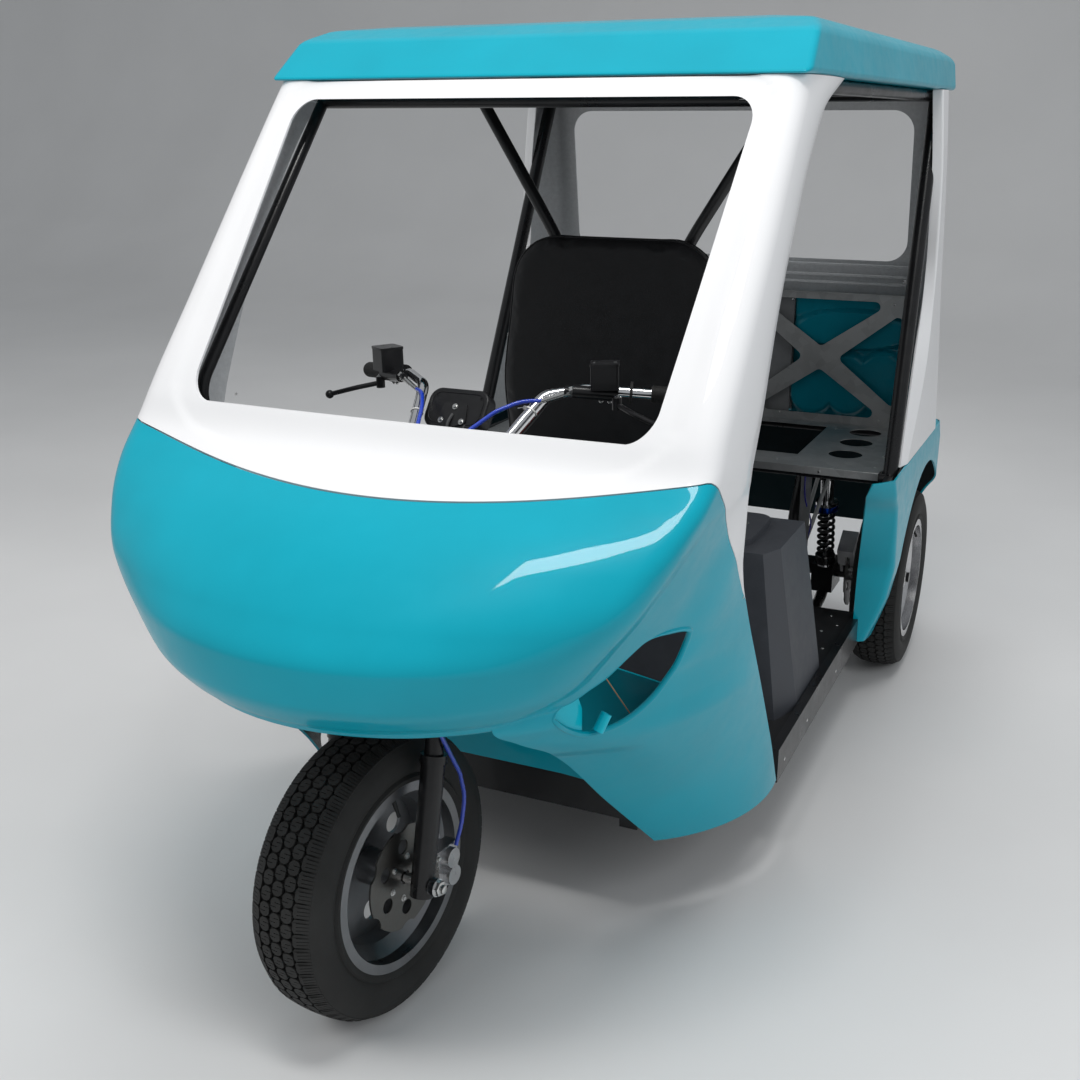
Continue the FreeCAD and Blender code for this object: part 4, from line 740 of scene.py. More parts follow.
def nose_faces():
    """The teal skin's points and faces: bulb, turned lip and both leg shields."""
    top = front_grid(COLUMNS, lambda c: LIP_HEIGHT, lambda c: SPLITS[c] - 1.0, 90)
    edge = top[0, SIDE_STEPS + TURN_STEPS:][:FACE_STEPS]
    lip = np.array([edge * (1 - inward / 420, 1, 1) + (0, inward, -down)
                    for inward, down in ((30, 8), (18, 9), (9, 8), (3, 5), (0, 0))])
    shields = [front_grid([("side", sign, value) for value in np.linspace(0, 1, SIDE_STEPS + 1)],
                          lambda c: SHIELD_FOOT, lambda c: LIP_HEIGHT, 110) for sign in (1, -1)]
    points, faces = [], []
    for grid in (top, lip, *shields):
        faces += grid_faces(*grid.shape[:2], start=len(points))
        points += [*grid.reshape(-1, 3)]
    return to_row(np.array(points)), faces


def nose_shell():
    """The teal front housing with its eye openings; gives its skin to cast rays at."""
    made = piece("nose_body", *nose_faces(), "teal_paint")
    with editing(made.data) as work:
        bmesh.ops.remove_doubles(work, verts=work.verts, dist=0.0004)
    face_outward(made, at(0, 500, 800))
    skin = skin_of(made)
    # the nose's inner side in near-black teal: painted shade
    thicken(made, SKIN, "inner_teal")
    for sign in (1, -1):
        outline = [eye_spot(spot.x, spot.y, sign) for spot in EYE_LINE]
        cut(made, *prism(outline, (-0.17 * sign, 0.17, 0)))
    smooth_by_angle(made.data, 32)
    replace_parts(made, "nose_shell")
    return skin


white_shell()
NOSE_SKIN = nose_shell()


# Roof cap
ROOF_SECTIONS = (
    # height, front station, front half width, rear station behind the rear axle, rear half width
    (1670, 610, 575, 145, 616),
    (1752, 712, 563, 175, 602),
    (1776, 790, 535, 70, 566),
    (1788, 900, 430, -100, 460),
)
ROOF_EDGE = 0.012
ROOF_FLANGE = 60


def roof_cap():
    """The teal roof with its slanting edge and the flange that turns in under it."""
    height, *edges = ROOF_SECTIONS[0]
    flange = [edge + shift for edge, shift in zip(edges, (ROOF_FLANGE, *[-ROOF_FLANGE] * 3))]
    rows = [(height, *flange), *ROOF_SECTIONS]
    points = []
    for height, front, front_x, rear, rear_x in rows:
        points += [at(-front_x, front, height), at(front_x, front, height),
                   behind(rear_x, rear, height), behind(-rear_x, rear, height)]
    top = 4 * (len(rows) - 1)
    faces = grid_faces(len(rows), 4, closed=True) + [(top, top + 1, top + 2, top + 3)]
    made = piece("roof_shell", points, faces, "teal_paint")
    set_up(made.modifiers.new("edge", "BEVEL"), width=ROOF_EDGE, segments=5, limit_method="ANGLE",
           angle_limit=math.radians(4))
    apply_modifiers(made)
    outward(made.data)
    # the roof's inner side near black: painted shade
    thicken(made, 0.004, "inner_roof")
    smooth_by_angle(made.data, 30)
    even_shading(made)
    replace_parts(made, "roof_cap")


# Rear shells
REAR_UPPER = np.array((
    # height, flange x and station, front edge x and station, corner x and station, wall station
    # and half width
    (710, 634, -395, 645, -350, 650, 130, 215, 600),
    (943, 620, -222, 644, -155, 643, 98, 182, 596),
    (1130, 610, -93, 638, -82, 635, 74, 154, 591),
    (1260, 605, -58, 634, -62, 631, 66, 134, 588),
    (1446, 600, -65, 628, -60, 624, 54, 105, 582),
    (1670, 582, -62, 610, -62, 612, 40, 70, 575),
), float)
REAR_LOWER = np.array((
    # height, inner front x and station, outer front x and station, side x and station, rear
    (190, 540, -380, 572, -373, 645, 200, 355),
    (250, 541, -385, 597, -371, 648, 215, 355),
    (320, 542, -391, 622, -373, 650, 230, 355),
    (420, 545, -400, 640, -380, 652, 250, 355),
    (666, 580, -550, 648, -470, 652, 260, 345),
    (710, 600, -562, 645, -495, 648, 250, 335),
), float)
REST_OF_EDGE = 7.0


def section_line(corners):
    """An open outline with rounded corners and held points on each straight between them."""
    flat = rounded(corners, 7, closed=False)
    inner = corners[1:-1]
    ends = list(np.cumsum([1] + [8 if radius > 0 else 1 for _, _, radius in inner]))
    kept = []
    for index, point in enumerate(flat):
        kept.append(point)
        if index + 1 in ends:
            step = flat[index + 1] - point
            hold = min(REST_OF_EDGE / float(np.linalg.norm(step)), 0.2)
            kept += [point + step * share for share in (hold, 0.5, 1 - hold)]
    return kept


def rear_grid(table, heights, corners_of, read):
    """Level outlines, each from the right round the back to the left."""
    rows = []
    for height in heights:
        right = corners_of(*[float(read(height, table[:, 0], table[:, k]))
                             for k in range(1, table.shape[1])])
        line = section_line([(-x, y, r) for x, y, r in right] + right[::-1])
        rows.append([(x, y + WHEELBASE, height) for x, y in line])
    return np.array(rows)


def upper_corners(in_x, in_y, edge_x, edge_y, corner_x, corner_y, wall_y, wall_x):
    return [(in_x, in_y, 0), (edge_x, edge_y, 6), (corner_x, corner_y, 38), (wall_x, wall_y, 30)]


def lower_corners(in_x, in_y, out_x, out_y, side_x, side_y, back):
    return [(in_x, in_y, 0), (out_x, out_y, 22), (side_x, side_y, 60), (side_x - 90, back, 60)]


def smooth_read(height, heights, values):
    return steady(heights, values, np.array([height], float))[0]


def level_shell(name, grid, material, inner, wall=5.0):
    """A closed shell from level outlines and the lines a wall's thickness inside them."""
    steps = np.diff(grid[:, :, :2], axis=1)
    steps /= np.linalg.norm(steps, axis=2, keepdims=True) + 1e-9
    normals = np.stack([steps[:, :, 1], -steps[:, :, 0]], axis=2)
    before = np.concatenate([normals[:, :1], normals], axis=1)
    after = np.concatenate([normals, normals[:, -1:]], axis=1)
    inside = grid.copy()
    inside[:, :, :2] += wall * (before + after) / (1 + np.sum(before * after, axis=2, keepdims=True))
    rows, columns = grid.shape[:2]
    wide = 2 * columns
    faces = grid_faces(rows, wide, closed=True)
    for start in (0, (rows - 1) * wide):
        faces += [(start + k, start + k + 1, start + wide - 2 - k, start + wide - 1 - k)
                  for k in range(columns - 1)]
    made = piece(name, to_row(np.concatenate([grid, inside[:, ::-1]], axis=1)), faces, material)
    made.data.materials.append(MATERIALS[inner])
    for number, face in enumerate(made.data.polygons[:(rows - 1) * wide]):
        face.material_index = 1 if columns <= number % wide < wide - 1 else 0
    outward(made.data)
    return made


def rear_upper():
    """The white rear wall with its window."""
    heights = [711, 717, *np.linspace(724, 1655, 40), 1663, 1669]
    grid = rear_grid(REAR_UPPER, heights, upper_corners, smooth_read)
    made = level_shell("rear_wall", grid, "white_paint", "inner_white")
    window = rounded([(-520, 1194, 60), (520, 1194, 60), (520, 1618, 60), (-520, 1618, 60)], 10)
    cut(made, *prism([behind(x, -100, z) for x, z in window], (0, 0.4, 0)))
    smooth_by_angle(made.data, 32)
    even_shading(made)
    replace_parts(made, "rear_upper_shell")


ARCH_RADIUS, ARCH_PLACE = 335.0, (10.0, 295.0)


def rear_lower():
    """The teal tail and fenders, with the wheel arches cut and a shelf above them."""
    heights = [191, 198, *np.linspace(206, 700, 30), 704, 709]
    grid = rear_grid(REAR_LOWER, heights, lower_corners, np.interp)
    x, station, height = (grid[:, :, k] for k in range(3))
    away = np.hypot(np.abs(x) - 634, height - 683)
    grid[:, :, 1] -= 34 * np.where(station < WHEELBASE - 430, 1 - soft_step(24, 80, away), 0)
    # the inner side in near-black teal: painted shade
    made = level_shell("tail_and_fenders", grid, "teal_paint", "inner_teal")
    back, height = ARCH_PLACE
    arch = [(back + ARCH_RADIUS * c, height + ARCH_RADIUS * s) for c, s in circle(96)]
    for outline in (arch, [(-200, 0), (500, 0), (500, 330), (-200, 330)]):
        cut(made, *prism([behind(-800, y, z) for y, z in outline], (1.6, 0, 0)))
    smooth_by_angle(made.data, 32)
    even_shading(made)
    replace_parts(made, "rear_lower_shell")
    outline = [(-596, 212), (596, 212), (644, 190), (644, 250), (556, 331), (-556, 331), (-644, 250),
               (-644, 190)]
    shelf = piece("tail_shelf", *prism([behind(x, y, 704) for x, y in outline], (0, 0, 0.005)),
                  "teal_paint")


roof_cap()
rear_upper()
rear_lower()


# Tyres
TREAD_HALF = 57.0
TREAD_DEPTH = 7.5
PITCHES = 62
RIM_RADIUS = 181.0


def crown(x):
    """The tread's radius across its width, in millimetres."""
    return TYRE_RADIUS - 5.5 * (x / TREAD_HALF) ** 2


def tyre_profile():
    """Half of the tyre's outline, from the bead to the middle of the tread: x, radius."""
    side = [(58 + 14.5 * math.cos(angle), 222 + 32 * math.sin(angle))
            for angle in np.radians(np.linspace(-58, 48, 9))]
    return [(66, RIM_RADIUS - 2), (69.5, RIM_RADIUS + 4), (70.5, RIM_RADIUS + 9), *side,
            (65.5, 252.5), (62.5, 257), (TREAD_HALF + 2, crown(TREAD_HALF) - TREAD_DEPTH),
            *[(x, crown(x) - TREAD_DEPTH) for x in (50, 38, 25, 12, 0)]]


def block_outline(kind):
    """A tread block's outline with its sipes: x across, s around, in millimetres."""
    pitch = 2 * math.pi * TYRE_RADIUS / PITCHES
    if kind == "centre":
        long, wide, nose, sipe, gap, slot = pitch / 2 - 1.5, 10.6, 5.5, 3.6, 0.55, 12.5
        half = [(3.5, -long), (8.2, 2.6 - long), (wide, -nose), (wide, -sipe - gap),
                (wide - slot, -sipe - gap), (wide - slot, gap - sipe), (wide, gap - sipe),
                (wide, nose), (8.2, long - 2.6), (3.5, long)]
        return half + [(-x, -s) for x, s in half]
    inner, outer, long, gap = 37.5, TREAD_HALF + 6.5, pitch / 2 - 1.4, 0.5
    points = [(inner + 3, -long), (outer, -long)]
    for s in (-6.5, 0.0, 6.5):
        points += [(outer, s - gap), (inner + 7, s - gap), (inner + 7, s + gap), (outer, s + gap)]
    return points + [(outer, long), (inner + 3, long), (inner, long - 5), (inner, 5 - long)]


def tread_point(x, s, drop, middle):
    """A place of the tread: across, around from a block's middle angle, and below the crown."""
    radius = crown(x) - drop - max(0.0, abs(x) - TREAD_HALF) * 1.1
    angle = middle + s / TYRE_RADIUS
    return (x, radius * math.cos(angle), radius * math.sin(angle))


def tyre_mesh():
    """One tyre about the X axis with its middle at the origin, in millimetres."""
    half = tyre_profile()
    outline = half + [(-x, radius) for x, radius in reversed(half[:-1])]
    points = [(x, radius * c, radius * s) for x, radius in outline for c, s in circle(124)]
    faces = grid_faces(len(outline), 124, closed=True)
    centre, shoulder = block_outline("centre"), block_outline("shoulder")
    for shape, phase in (*[([(x + offset, s) for x, s in centre], phase)
                           for offset, phase in ((-24.2, 0.0), (0.0, 0.5), (24.2, 0.0))],
                         (shoulder, 0.5), ([(-x, s) for x, s in reversed(shoulder)], 0.5)):
        for index in range(PITCHES):
            middle = 2 * math.pi * (index + phase) / PITCHES
            block, sides = prism([tread_point(x, s, 0.0, middle) for x, s in shape], (0, 0, 0))
            count = len(shape)
            block[count:] = [tread_point(x, s, TREAD_DEPTH + 1, middle) for x, s in shape]
            faces += [tuple(len(points) + k for k in face) for face in (sides[0], *sides[2:])]
            points += block
    return points, faces


def wheel_placements():
    """Each wheel's body with the transform from the wheel's own axes to the vehicle."""
    placed = {}
    for joint in frame["joints"]:
        if "wheel" in joint["child"]:
            turn = Vector(joint["axis"]).normalized().to_track_quat("X", "Z").to_matrix().to_4x4()
            placed[joint["child"]] = Matrix.Translation(Vector(joint["pos_m"])) @ turn
    return placed


WHEELS = wheel_placements()


def tyres():
    """The tyres with their tread blocks."""
    points, faces = tyre_mesh()
    points = [Vector(point) / 1000 for point in points]
    for body, node in (("front_wheel", "front_tyre"), ("rear_wheel_left", "rear_tyre_left"),
                       ("rear_wheel_right", "rear_tyre_right")):
        tyre = Bundle(WHEELS[body])
        tyre.add(points, faces)
        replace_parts(tyre.make(node + "_tread", "tyre", "tyre", body, 30), node)


tyres()


# Small fittings
REST_TURN = 7.2


def steering_turn():
    """The turn of everything on the fork from straight ahead to the rest pose."""
    joint = next(joint for joint in frame["joints"] if joint["child"] == "steering")
    base = Matrix.Translation(Vector(joint["pos_m"]))
    axis = Vector(joint["axis"]).normalized()
    return base @ Matrix.Rotation(math.radians(-REST_TURN), 4, axis) @ base.inverted()


STEER = steering_turn()
BAR_HEIGHT = 880.0


def bar_spot(x, station, rise):
    return at(x, station, BAR_HEIGHT + rise)


GRIP_RUN = bar_spot(205, 455, 226), bar_spot(385, 548, 208)


def plate(corners, radius, steps, place):
    """A flat outline with rounded corners, in mm, set in space by a function of two metres."""
    outline = rounded([(x, y, radius) for x, y in corners], steps)
    return [place(x / 1000, y / 1000) for x, y in outline]


def riser_spot(sign, share):
    """A place on the rising run of the handlebar."""
    low, high = bar_spot(88 * sign, 270, 102), bar_spot(140 * sign, 412, 216)
    return low + (high - low) * share, (high - low).normalized()


def bar_fittings():
    """Cable ties and the two leads along each side of the handlebar."""
    ties, leads, dark = Bundle(STEER), Bundle(STEER), Bundle(STEER)
    for sign, share in ((1, 0.78), (1, 0.2), (-1, 0.62), (-1, 0.14)):
        spot, run = riser_spot(sign, share)
        ties.lathe(spot, run, [(-1.3, 11.2), (-1.3, 12.6), (1.3, 12.6), (1.3, 11.2)], 26)
        side = run.cross(Vector((0, 1, 0))).normalized() * sign
        lock, half = spot + side * 0.0145, Vector((0.003, 0.003, 0.003))
        ties.brick(lock - half, lock + half)
        ties.tube([lock, lock + side * 0.006 - run * 0.004, lock + side * 0.011 - run * 0.009],
                  0.9, 6)
    ties.make("bar_ties", "tie_white", "control_black", "steering")
    for sign in (1, -1):
        back = Vector((0.006 * sign, 0.0135, -0.004))
        path = [bar_spot(176 * sign, 444, 216),
                *[riser_spot(sign, share)[0] + back for share in (0.95, 0.75, 0.5, 0.25, 0.0)],
                bar_spot(52 * sign, 262, 60), bar_spot(30 * sign, 250, 10)]
        leads.tube(flowing(path), 1.5, 8)
        dark.tube(flowing([spot + Vector((0.0035 * sign, 0.001, -0.003)) for spot in path]), 1.6, 8)
    leads.make("red_leads", "red_lead", "control_black", "steering")
    dark.make("dark_leads", "dark_grey", "control_black", "steering")


def brake_details():
    """The reservoirs' lids and screws, the levers' pivots, the clamps' bolts and the hoses' ends."""
    up = Vector((0, 0, 1))
    along = (GRIP_RUN[1] - GRIP_RUN[0]).normalized()
    ahead = along.cross(up).normalized()
    seat = GRIP_RUN[0] + along * 0.036
    flat = Vector((along.x, along.y, 0)).normalized()
    square = up.cross(flat)
    centre = seat + ahead * 0.030 + up * 0.010
    bright, black = Bundle(), Bundle()
    for sign in (1, -1):
        bright.move = black.move = STEER @ Matrix.Diagonal((sign, 1, 1, 1))
        lid = plate([(-27, -27), (27, -27), (27, 23), (-27, 23)], 6, 4,
                    lambda x, y: centre + flat * x + square * y + up * 0.0435)
        black.add(*prism(lid, up * 0.005))
        for x in (-0.019, 0.019):
            bright.lathe(centre + flat * x - square * 0.002 + up * 0.048, up,
                         [(0, 3.2), (1.2, 3.2), (1.6, 2.4)], 14)
        bright.bolt(seat + ahead * 0.042 + along * 0.022 - up * 0.003, up, 4.6, 3.5)
        for beside in (-0.008, 0.008):
            bright.bolt(seat + ahead * 0.018 + along * beside - up * 0.017, -up, 3.0, 3.0)
        end = seat + ahead * 0.032 - along * 0.062
        run = at(146, 394, 1090) - end
        long = run.length * 1000
        bright.lathe(end, run, [(0, 7.6), (9, 7.6), (9, 5.6), (long * 0.6, 5.2), (long * 0.6, 4.8),
                                (long + 6, 4.5)], 18)
        bright.lathe(end - run.normalized() * 0.004, run, [(0, 9.2), (7, 9.2)], 6)
    bright.make("brake_fittings", "zinc", "chrome", "steering")
    black.make("reservoir_lids", "control_black", "control_black", "steering")


def grip_ribs():
    """The ribbed rubber of both grips."""
    ribs = Bundle()
    run = (GRIP_RUN[1] - GRIP_RUN[0]).normalized()
    profile = [(3.0 * k + along, radius) for k in range(27)
               for along, radius in ((0, 15.4), (0.4, 16.3), (1.9, 16.3), (2.3, 15.4))]
    for sign in (1, -1):
        ribs.move = STEER @ Matrix.Diagonal((sign, 1, 1, 1))
        ribs.lathe(GRIP_RUN[1] - run * 0.080, run, profile, 40)
    ribs.make("grip_ribs", "grip_rubber", "grip_rubber", "steering", 25)


def display_details():
    """The display's mounting plate, its rim, bolts and cable."""
    place = STEER @ Matrix.Translation(bar_spot(-48, 400, 172)) @ Matrix.Rotation(
        math.radians(-35), 4, "X")
    black, bright, cable = Bundle(place), Bundle(place), Bundle(STEER)
    black.add(*prism(plate([(-26, 10), (26, 10), (34, -30), (6, -40), (-14, -40), (-34, -30)], 6, 4,
                           lambda x, z: (x, -0.0155, z)), (0, -0.0035, 0)))
    black.tube(plate([(-60, -32), (60, -32), (60, 32), (-60, 32)], 20, 6,
                     lambda x, z: (x, -0.0160, z)), 1.3, 8, closed=True)
    for x, z in ((0, 0.002), (-0.024, -0.028), (0.024, -0.028)):
        bright.bolt((x, -0.019, z), (0, -1, 0), 4.2, 3.6)
    for x in (-0.052, 0.052):
        black.lathe((x, -0.0158, 0.024), (0, -1, 0),
                    [(0, 3.6), (0.8, 3.6), (0.8, 2.2), (0.2, 1.8)], 14)
    black.make("display_plate", "control_black", "display_plastic", "steering")
    bright.make("display_bolts", "zinc", "chrome", "steering")
    start = STEER.inverted() @ (place @ Vector((0.0, -0.019, -0.014)))
    path = [start + Vector(step) for step in ((0, 0, 0), (-0.002, -0.016, -0.016), (0, -0.03, -0.05),
                                              (0.008, -0.05, -0.09))]
    cable.tube(flowing([*path, bar_spot(-8, 290, 40), bar_spot(-6, 262, 2)]), 3.4, 10)
    cable.make("display_cable", "dark_grey", "control_black", "steering")


def clamp_bolts():
    bright = Bundle(STEER)
    for x in (22, -22):
        for station in (203, 227):
            bright.bolt(bar_spot(x, station, 80.5), (0, 0, 1), 4.2, 6.0)
    bright.make("clamp_bolts", "zinc", "chrome", "steering")


bar_fittings()
brake_details()
grip_ribs()
display_details()
clamp_bolts()


# Wheels and suspension
def wheel_details():
    """Tyre valves, wheel nuts and hub caps."""
    for body, side in (("front_wheel", 1), ("rear_wheel_left", 1), ("rear_wheel_right", -1)):
        stems, nuts = Bundle(WHEELS[body]), Bundle(WHEELS[body])
        if body == "front_wheel":
            stems.lathe((0.052, 0.0, 0.152), (0.35, 0, -1), [(0, 4.6), (9, 4.2), (24, 3.2), (31, 3.6),
                                                             (33, 2.6)], 14)
            for c, s in circle(6, 0.3):
                nuts.bolt((0.068, 0.040 * c, 0.040 * s), (1, 0, 0), 4.4, 3.6)
        else:
            stems.lathe((0.056 * side, 0.0, 0.158), (side * 0.5, 0, -1),
                        [(0, 4.6), (9, 4.2), (22, 3.2), (28, 3.6), (30, 2.6)], 14)
            nuts.lathe((0.028 * side, 0, 0), (side, 0, 0), [(0, 26), (4, 26), (4.2, 24)], 28)
            nuts.lathe((0.032 * side, 0, 0), (side, 0, 0), [(0, 19), (17, 19), (19, 17)], 6)
            for c, s in circle(5, 0.4):
                nuts.bolt((0.0125 * side, 0.054 * c, 0.054 * s), (side, 0, 0), 7.0, 8.0)
        stems.make(body + "_valve", "grip_rubber", "tyre", body)
        nuts.make(body + "_nuts", "zinc", "chrome", body)


def axle_nuts():
    """The nuts at both ends of the front axle."""
    bright = Bundle(WHEELS["front_wheel"])
    for sign in (1, -1):
        bright.lathe((0.140 * sign, 0, 0), (sign, 0, 0), [(0, 14.5), (10, 14.5), (11, 12.5)], 6)
        bright.lathe((0.150 * sign, 0, 0), (sign, 0, 0), [(0, 8), (7, 8), (8, 6.5)], 16)
    bright.make("axle_nuts", "zinc", "chrome", "steering")


def caliper_details():
    """The front caliper's bolts and the banjo of its hose."""
    low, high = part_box("front_caliper")
    middle, across = (low + high) / 2, STEER.to_3x3() @ Vector((1, 0, 0))
    bright = Bundle()
    for back, lift in ((-0.018, 0.036), (0.022, 0.034), (0.024, -0.036), (-0.02, -0.034)):
        bright.bolt(middle + across * 0.020 + Vector((0, back, lift)), across, 4.6, 5.0)
    bright.lathe(middle + Vector((0, 0, 0.046)), (0.2, 0.1, 1),
                 [(-6, 5.6), (6, 5.6), (6.5, 3.6), (16, 3.4), (17, 4.4), (21, 4.4)], 14)
    bright.make("caliper_bolts", "zinc", "chrome", "steering")


def shock_details():
    """Each damper's end caps and blue collar, and the lead that hangs beside it."""
    for sign, name in ((1, "left"), (-1, "right")):
        low, high = behind(385 * sign, -56, 300.5), behind(385 * sign, -112, 616)
        run = high - low
        black, blue, lead = Bundle(), Bundle(), Bundle()
        # each row: share of the damper's length and mm beyond it, radius
        for bundle, start, rows, sides in (
                (black, 0.9, ((0, 0, 21), (0, 3, 25), (0.085, 0, 25), (0.095, 0, 20)), 28),
                (black, 0.02, ((0, 0, 24), (0, 0, 30), (0.075, 0, 30.5), (0.085, 0, 27)), 28),
                (blue, 0.572, ((0, 0, 30), (0, 1, 34.5), (0.05, 0, 34.5), (0.056, 0, 33.4)), 36)):
            bundle.lathe(low + run * start, run, [(run.length * 1000 * share + more, radius)
                                                  for share, more, radius in rows], sides)
        black.make(f"shock_caps_{name}", "spring_black", "spring_black")
        blue.make(f"shock_collar_{name}", "blue_collar", "spring_black")
        lead.tube(flowing([behind(x * sign, y, z) for x, y, z in (
            (352, -258, 640), (356, -262, 560), (372, -235, 470), (352, -262, 380), (352, -280, 300),
            (352, -292, 250))]), 2.2, 8)
        lead.make(f"blue_lead_{name}", "blue_lead", "blue_hose")


wheel_details()
axle_nuts()
caliper_details()
shock_details()


# Floor, deck and rear wall
def rivets_all():
    """Rivets, the strip along the deck's edge and the ribs of the rear wall's ledge."""
    bright, lip, strips = Bundle(), Bundle(), Bundle()
    for sign in (1, -1):
        # the floor's edge, its front and its rear panel
        for station in (850, 1068, 1388, 1707):
            bright.rivet(at(554 * sign, station, 212), (sign, 0, 0), 4.6)
        for x, station in ((472, 1380), (472, 1573), (472, 1700), (503, 1450), (503, 1632)):
            bright.rivet(at(x * sign, station, 244), (0, 0, 1), 4.4)
        # the deck, its front edge and the panel behind it
        for x, station in ((566, -251), (566, -380), (566, -100), (566, 60), (300, -395), (370, 40)):
            bright.rivet(behind(x * sign, station, 700), (0, 0, 1), 3.8)
        for x in (430, 150):
            bright.rivet(behind(x * sign, -448, 690), (0, -1, 0), 4.4)
        for x, height in ((196, 1071), (500, 1071), (176, 718), (480, 718), (548, 900)):
            bright.rivet(behind(x * sign, 118, height), (0, -1, 0), 4.0)
        bright.bolt(behind(523 * sign, 122, 1136), (0, -1, 0), 5.0, 3.4)
        for height in (760, 900, 1040):
            bright.rivet(at(560 * sign, 392 + (height - 760) * 0.05, height), (0, 1, 0), 3.0)
    bright.make("rivets", "zinc", "chrome")
    outline = [(-447.6, 681), (-447.6, 700.6), (-446.6, 701.6), (-408, 701.6), (-408, 700.1),
               (-446.1, 700.1), (-446.1, 681)]
    lip.add(*prism([behind(-586, y, z) for y, z in outline], (1.172, 0, 0)))
    lip.make("deck_edge", "galvanised", "galvanised")
    for height, deep in ((1180, 4), (1128, 5), (1150, 2.5)):
        strips.brick(behind(-558, 122 - deep, height - 4), behind(558, 124, height + 4))
    ledge = strips.make("ledge_ribs", "inner_white", "white_paint")
    set_up(ledge.modifiers.new("soft", "BEVEL"), width=0.0018, segments=2)
    apply_modifiers(ledge)


def tail_liner():
    """The moulded liner seen through the panel's openings: lobed recesses beside a grey middle."""
    size = 60
    for sign, name in ((1, "left"), (-1, "right")):
        points = []
        for height in np.linspace(712, 1096, size):
            for x in np.linspace(198, 558, size):
                # each lobe: its middle x and height, half width and half height
                lobes = max(1 - ((x - mid) / wide) ** 2 - ((height - level) / tall) ** 2
                            for mid, level, wide, tall in ((262, 800, 78, 92), (372, 815, 80, 100),
                                                           (478, 830, 84, 96), (380, 985, 190, 62)))
                depth = 172 - 26 * (height - 712) / 384 - 22 * float(soft_step(-0.12, 0.25, lobes))
                points.append(behind(x * sign, depth, height))
        # the liner in a darker copy of the teal paint: painted shade
        liner = piece(f"tail_liner_{name}", points, grid_faces(size, size), "liner_teal")
        face_outward(liner, behind(380 * sign, 900, 900))
        thicken(liner, 0.003)
    middle = Bundle()
    middle.brick(behind(-196, 140, 712), behind(196, 143, 1096))
    middle.make("tail_middle", "inner_grey", "galvanised")


rivets_all()
tail_liner()


# Headlamp openings
def eye_details():
    """Each opening's rolled rim, the lamp's mounts inside it and a lead that hangs behind it."""
    for sign, name in ((1, "left"), (-1, "right")):
        bead, lamp, lead = Bundle(), Bundle(), Bundle()
        inward = Vector((-sign, 1, 0)).normalized()
        path, radii = [], []
        for spot in EYE_LINE:
            hit = NOSE_SKIN.ray_cast(eye_spot(spot.x, spot.y, 1), Vector((-1, 1, 0)).normalized())[0]
            if hit is not None:
                lower = float(soft_step(-34, 14, (spot.x - 20) * 0.62 + 668 - spot.y))
                path.append(Vector((hit.x * sign, hit.y, hit.z)) + inward * (0.0015 + 0.001 * lower))
                radii.append(1.4 + 4.2 * lower)
        bead.tube(path, radii, 10, closed=True)
        bead.make(f"eye_rim_{name}", "teal_paint", "teal_paint")
        lamp.add(*prism([eye_spot(x, y, sign, back) for x, y, back in (
            (-14, 688, 78), (38, 706, 96), (66, 640, 118), (60, 606, 104), (8, 632, 82),
            (-22, 660, 70))], inward * 0.003))
        base = eye_spot(86, 604, sign, 96)
        lamp.lathe(base, eye_spot(104, 634, sign, 100) - base,
                   [(0, 10), (34, 10), (34, 8), (30, 7.6)], 20)
        # the mounts in a lighter copy of the teal paint: painted light
        lamp.make(f"lamp_mount_{name}", "inner_bright", "teal_paint")
        lead.tube([eye_spot(74, 752, sign, 150), eye_spot(186, 574, sign, 150)], 1.0, 8)
        lead.make(f"tan_lead_{name}", "tan_lead", "blue_hose")


eye_details()


# Seat
def pad_line(node, low, high, top, side, steps):
    """A pad's outline: the back seen from the front, round at the top, the cushion from above."""
    if node == "seat_back":
        waist = low.z + 0.21
        return rounded([(low.x + 0.03, low.z, side), (high.x - 0.03, low.z, side),
                        (high.x, waist, 0.5), (high.x - 0.045, high.z, top),
                        (low.x + 0.045, high.z, top), (low.x, waist, 0.5)], 14)
    return rounded([(low.x, low.y, top), (high.x, low.y, top), (high.x, high.y, side),
                    (low.x, high.y, side)], steps)


def seat_brace():
    """Two black tubes that spread from the box behind the seat back up to the roof."""
    low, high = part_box("seat_brace")
    station = (low.y + high.y) / 2
    tubes = Bundle()
    for sign in (1, -1):
        tubes.tube(flowing([(x * sign / 1000, station, z / 1000) for x, z in (
            (90, low.z * 1000 + 4), (91, 860), (94, 1020), (112, 1170), (162, 1295), (236, 1420),
            (382, 1652))], 8), 14.5, 20)
    tubes.brick((-0.13, station - 0.02, low.z), (0.13, station + 0.02, low.z + 0.006))
    made = tubes.make("seat_brace_tubes", "black_frame", "black_frame")
    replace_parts(made, "seat_brace")


def pad_block(name, node, low, high, corner):
    """A rounded slab between two corners, remeshed evenly."""
    outline = pad_line(node, low, high, *corner, 10)
    if node == "seat_back":
        points, faces = prism([(x, low.y, z) for x, z in outline], (0, high.y - low.y, 0))
    else:
        points, faces = prism([(x, y, low.z) for x, y in outline], (0, 0, high.z - low.z))
    made = piece(name, points, faces, "vinyl")
    outward(made.data)
    set_up(made.modifiers.new("edge", "BEVEL"), width=0.012, segments=4, limit_method="ANGLE",
           angle_limit=math.radians(60))
    set_up(made.modifiers.new("skin", "REMESH"), mode="VOXEL", voxel_size=0.006)
    apply_modifiers(made)
    return made


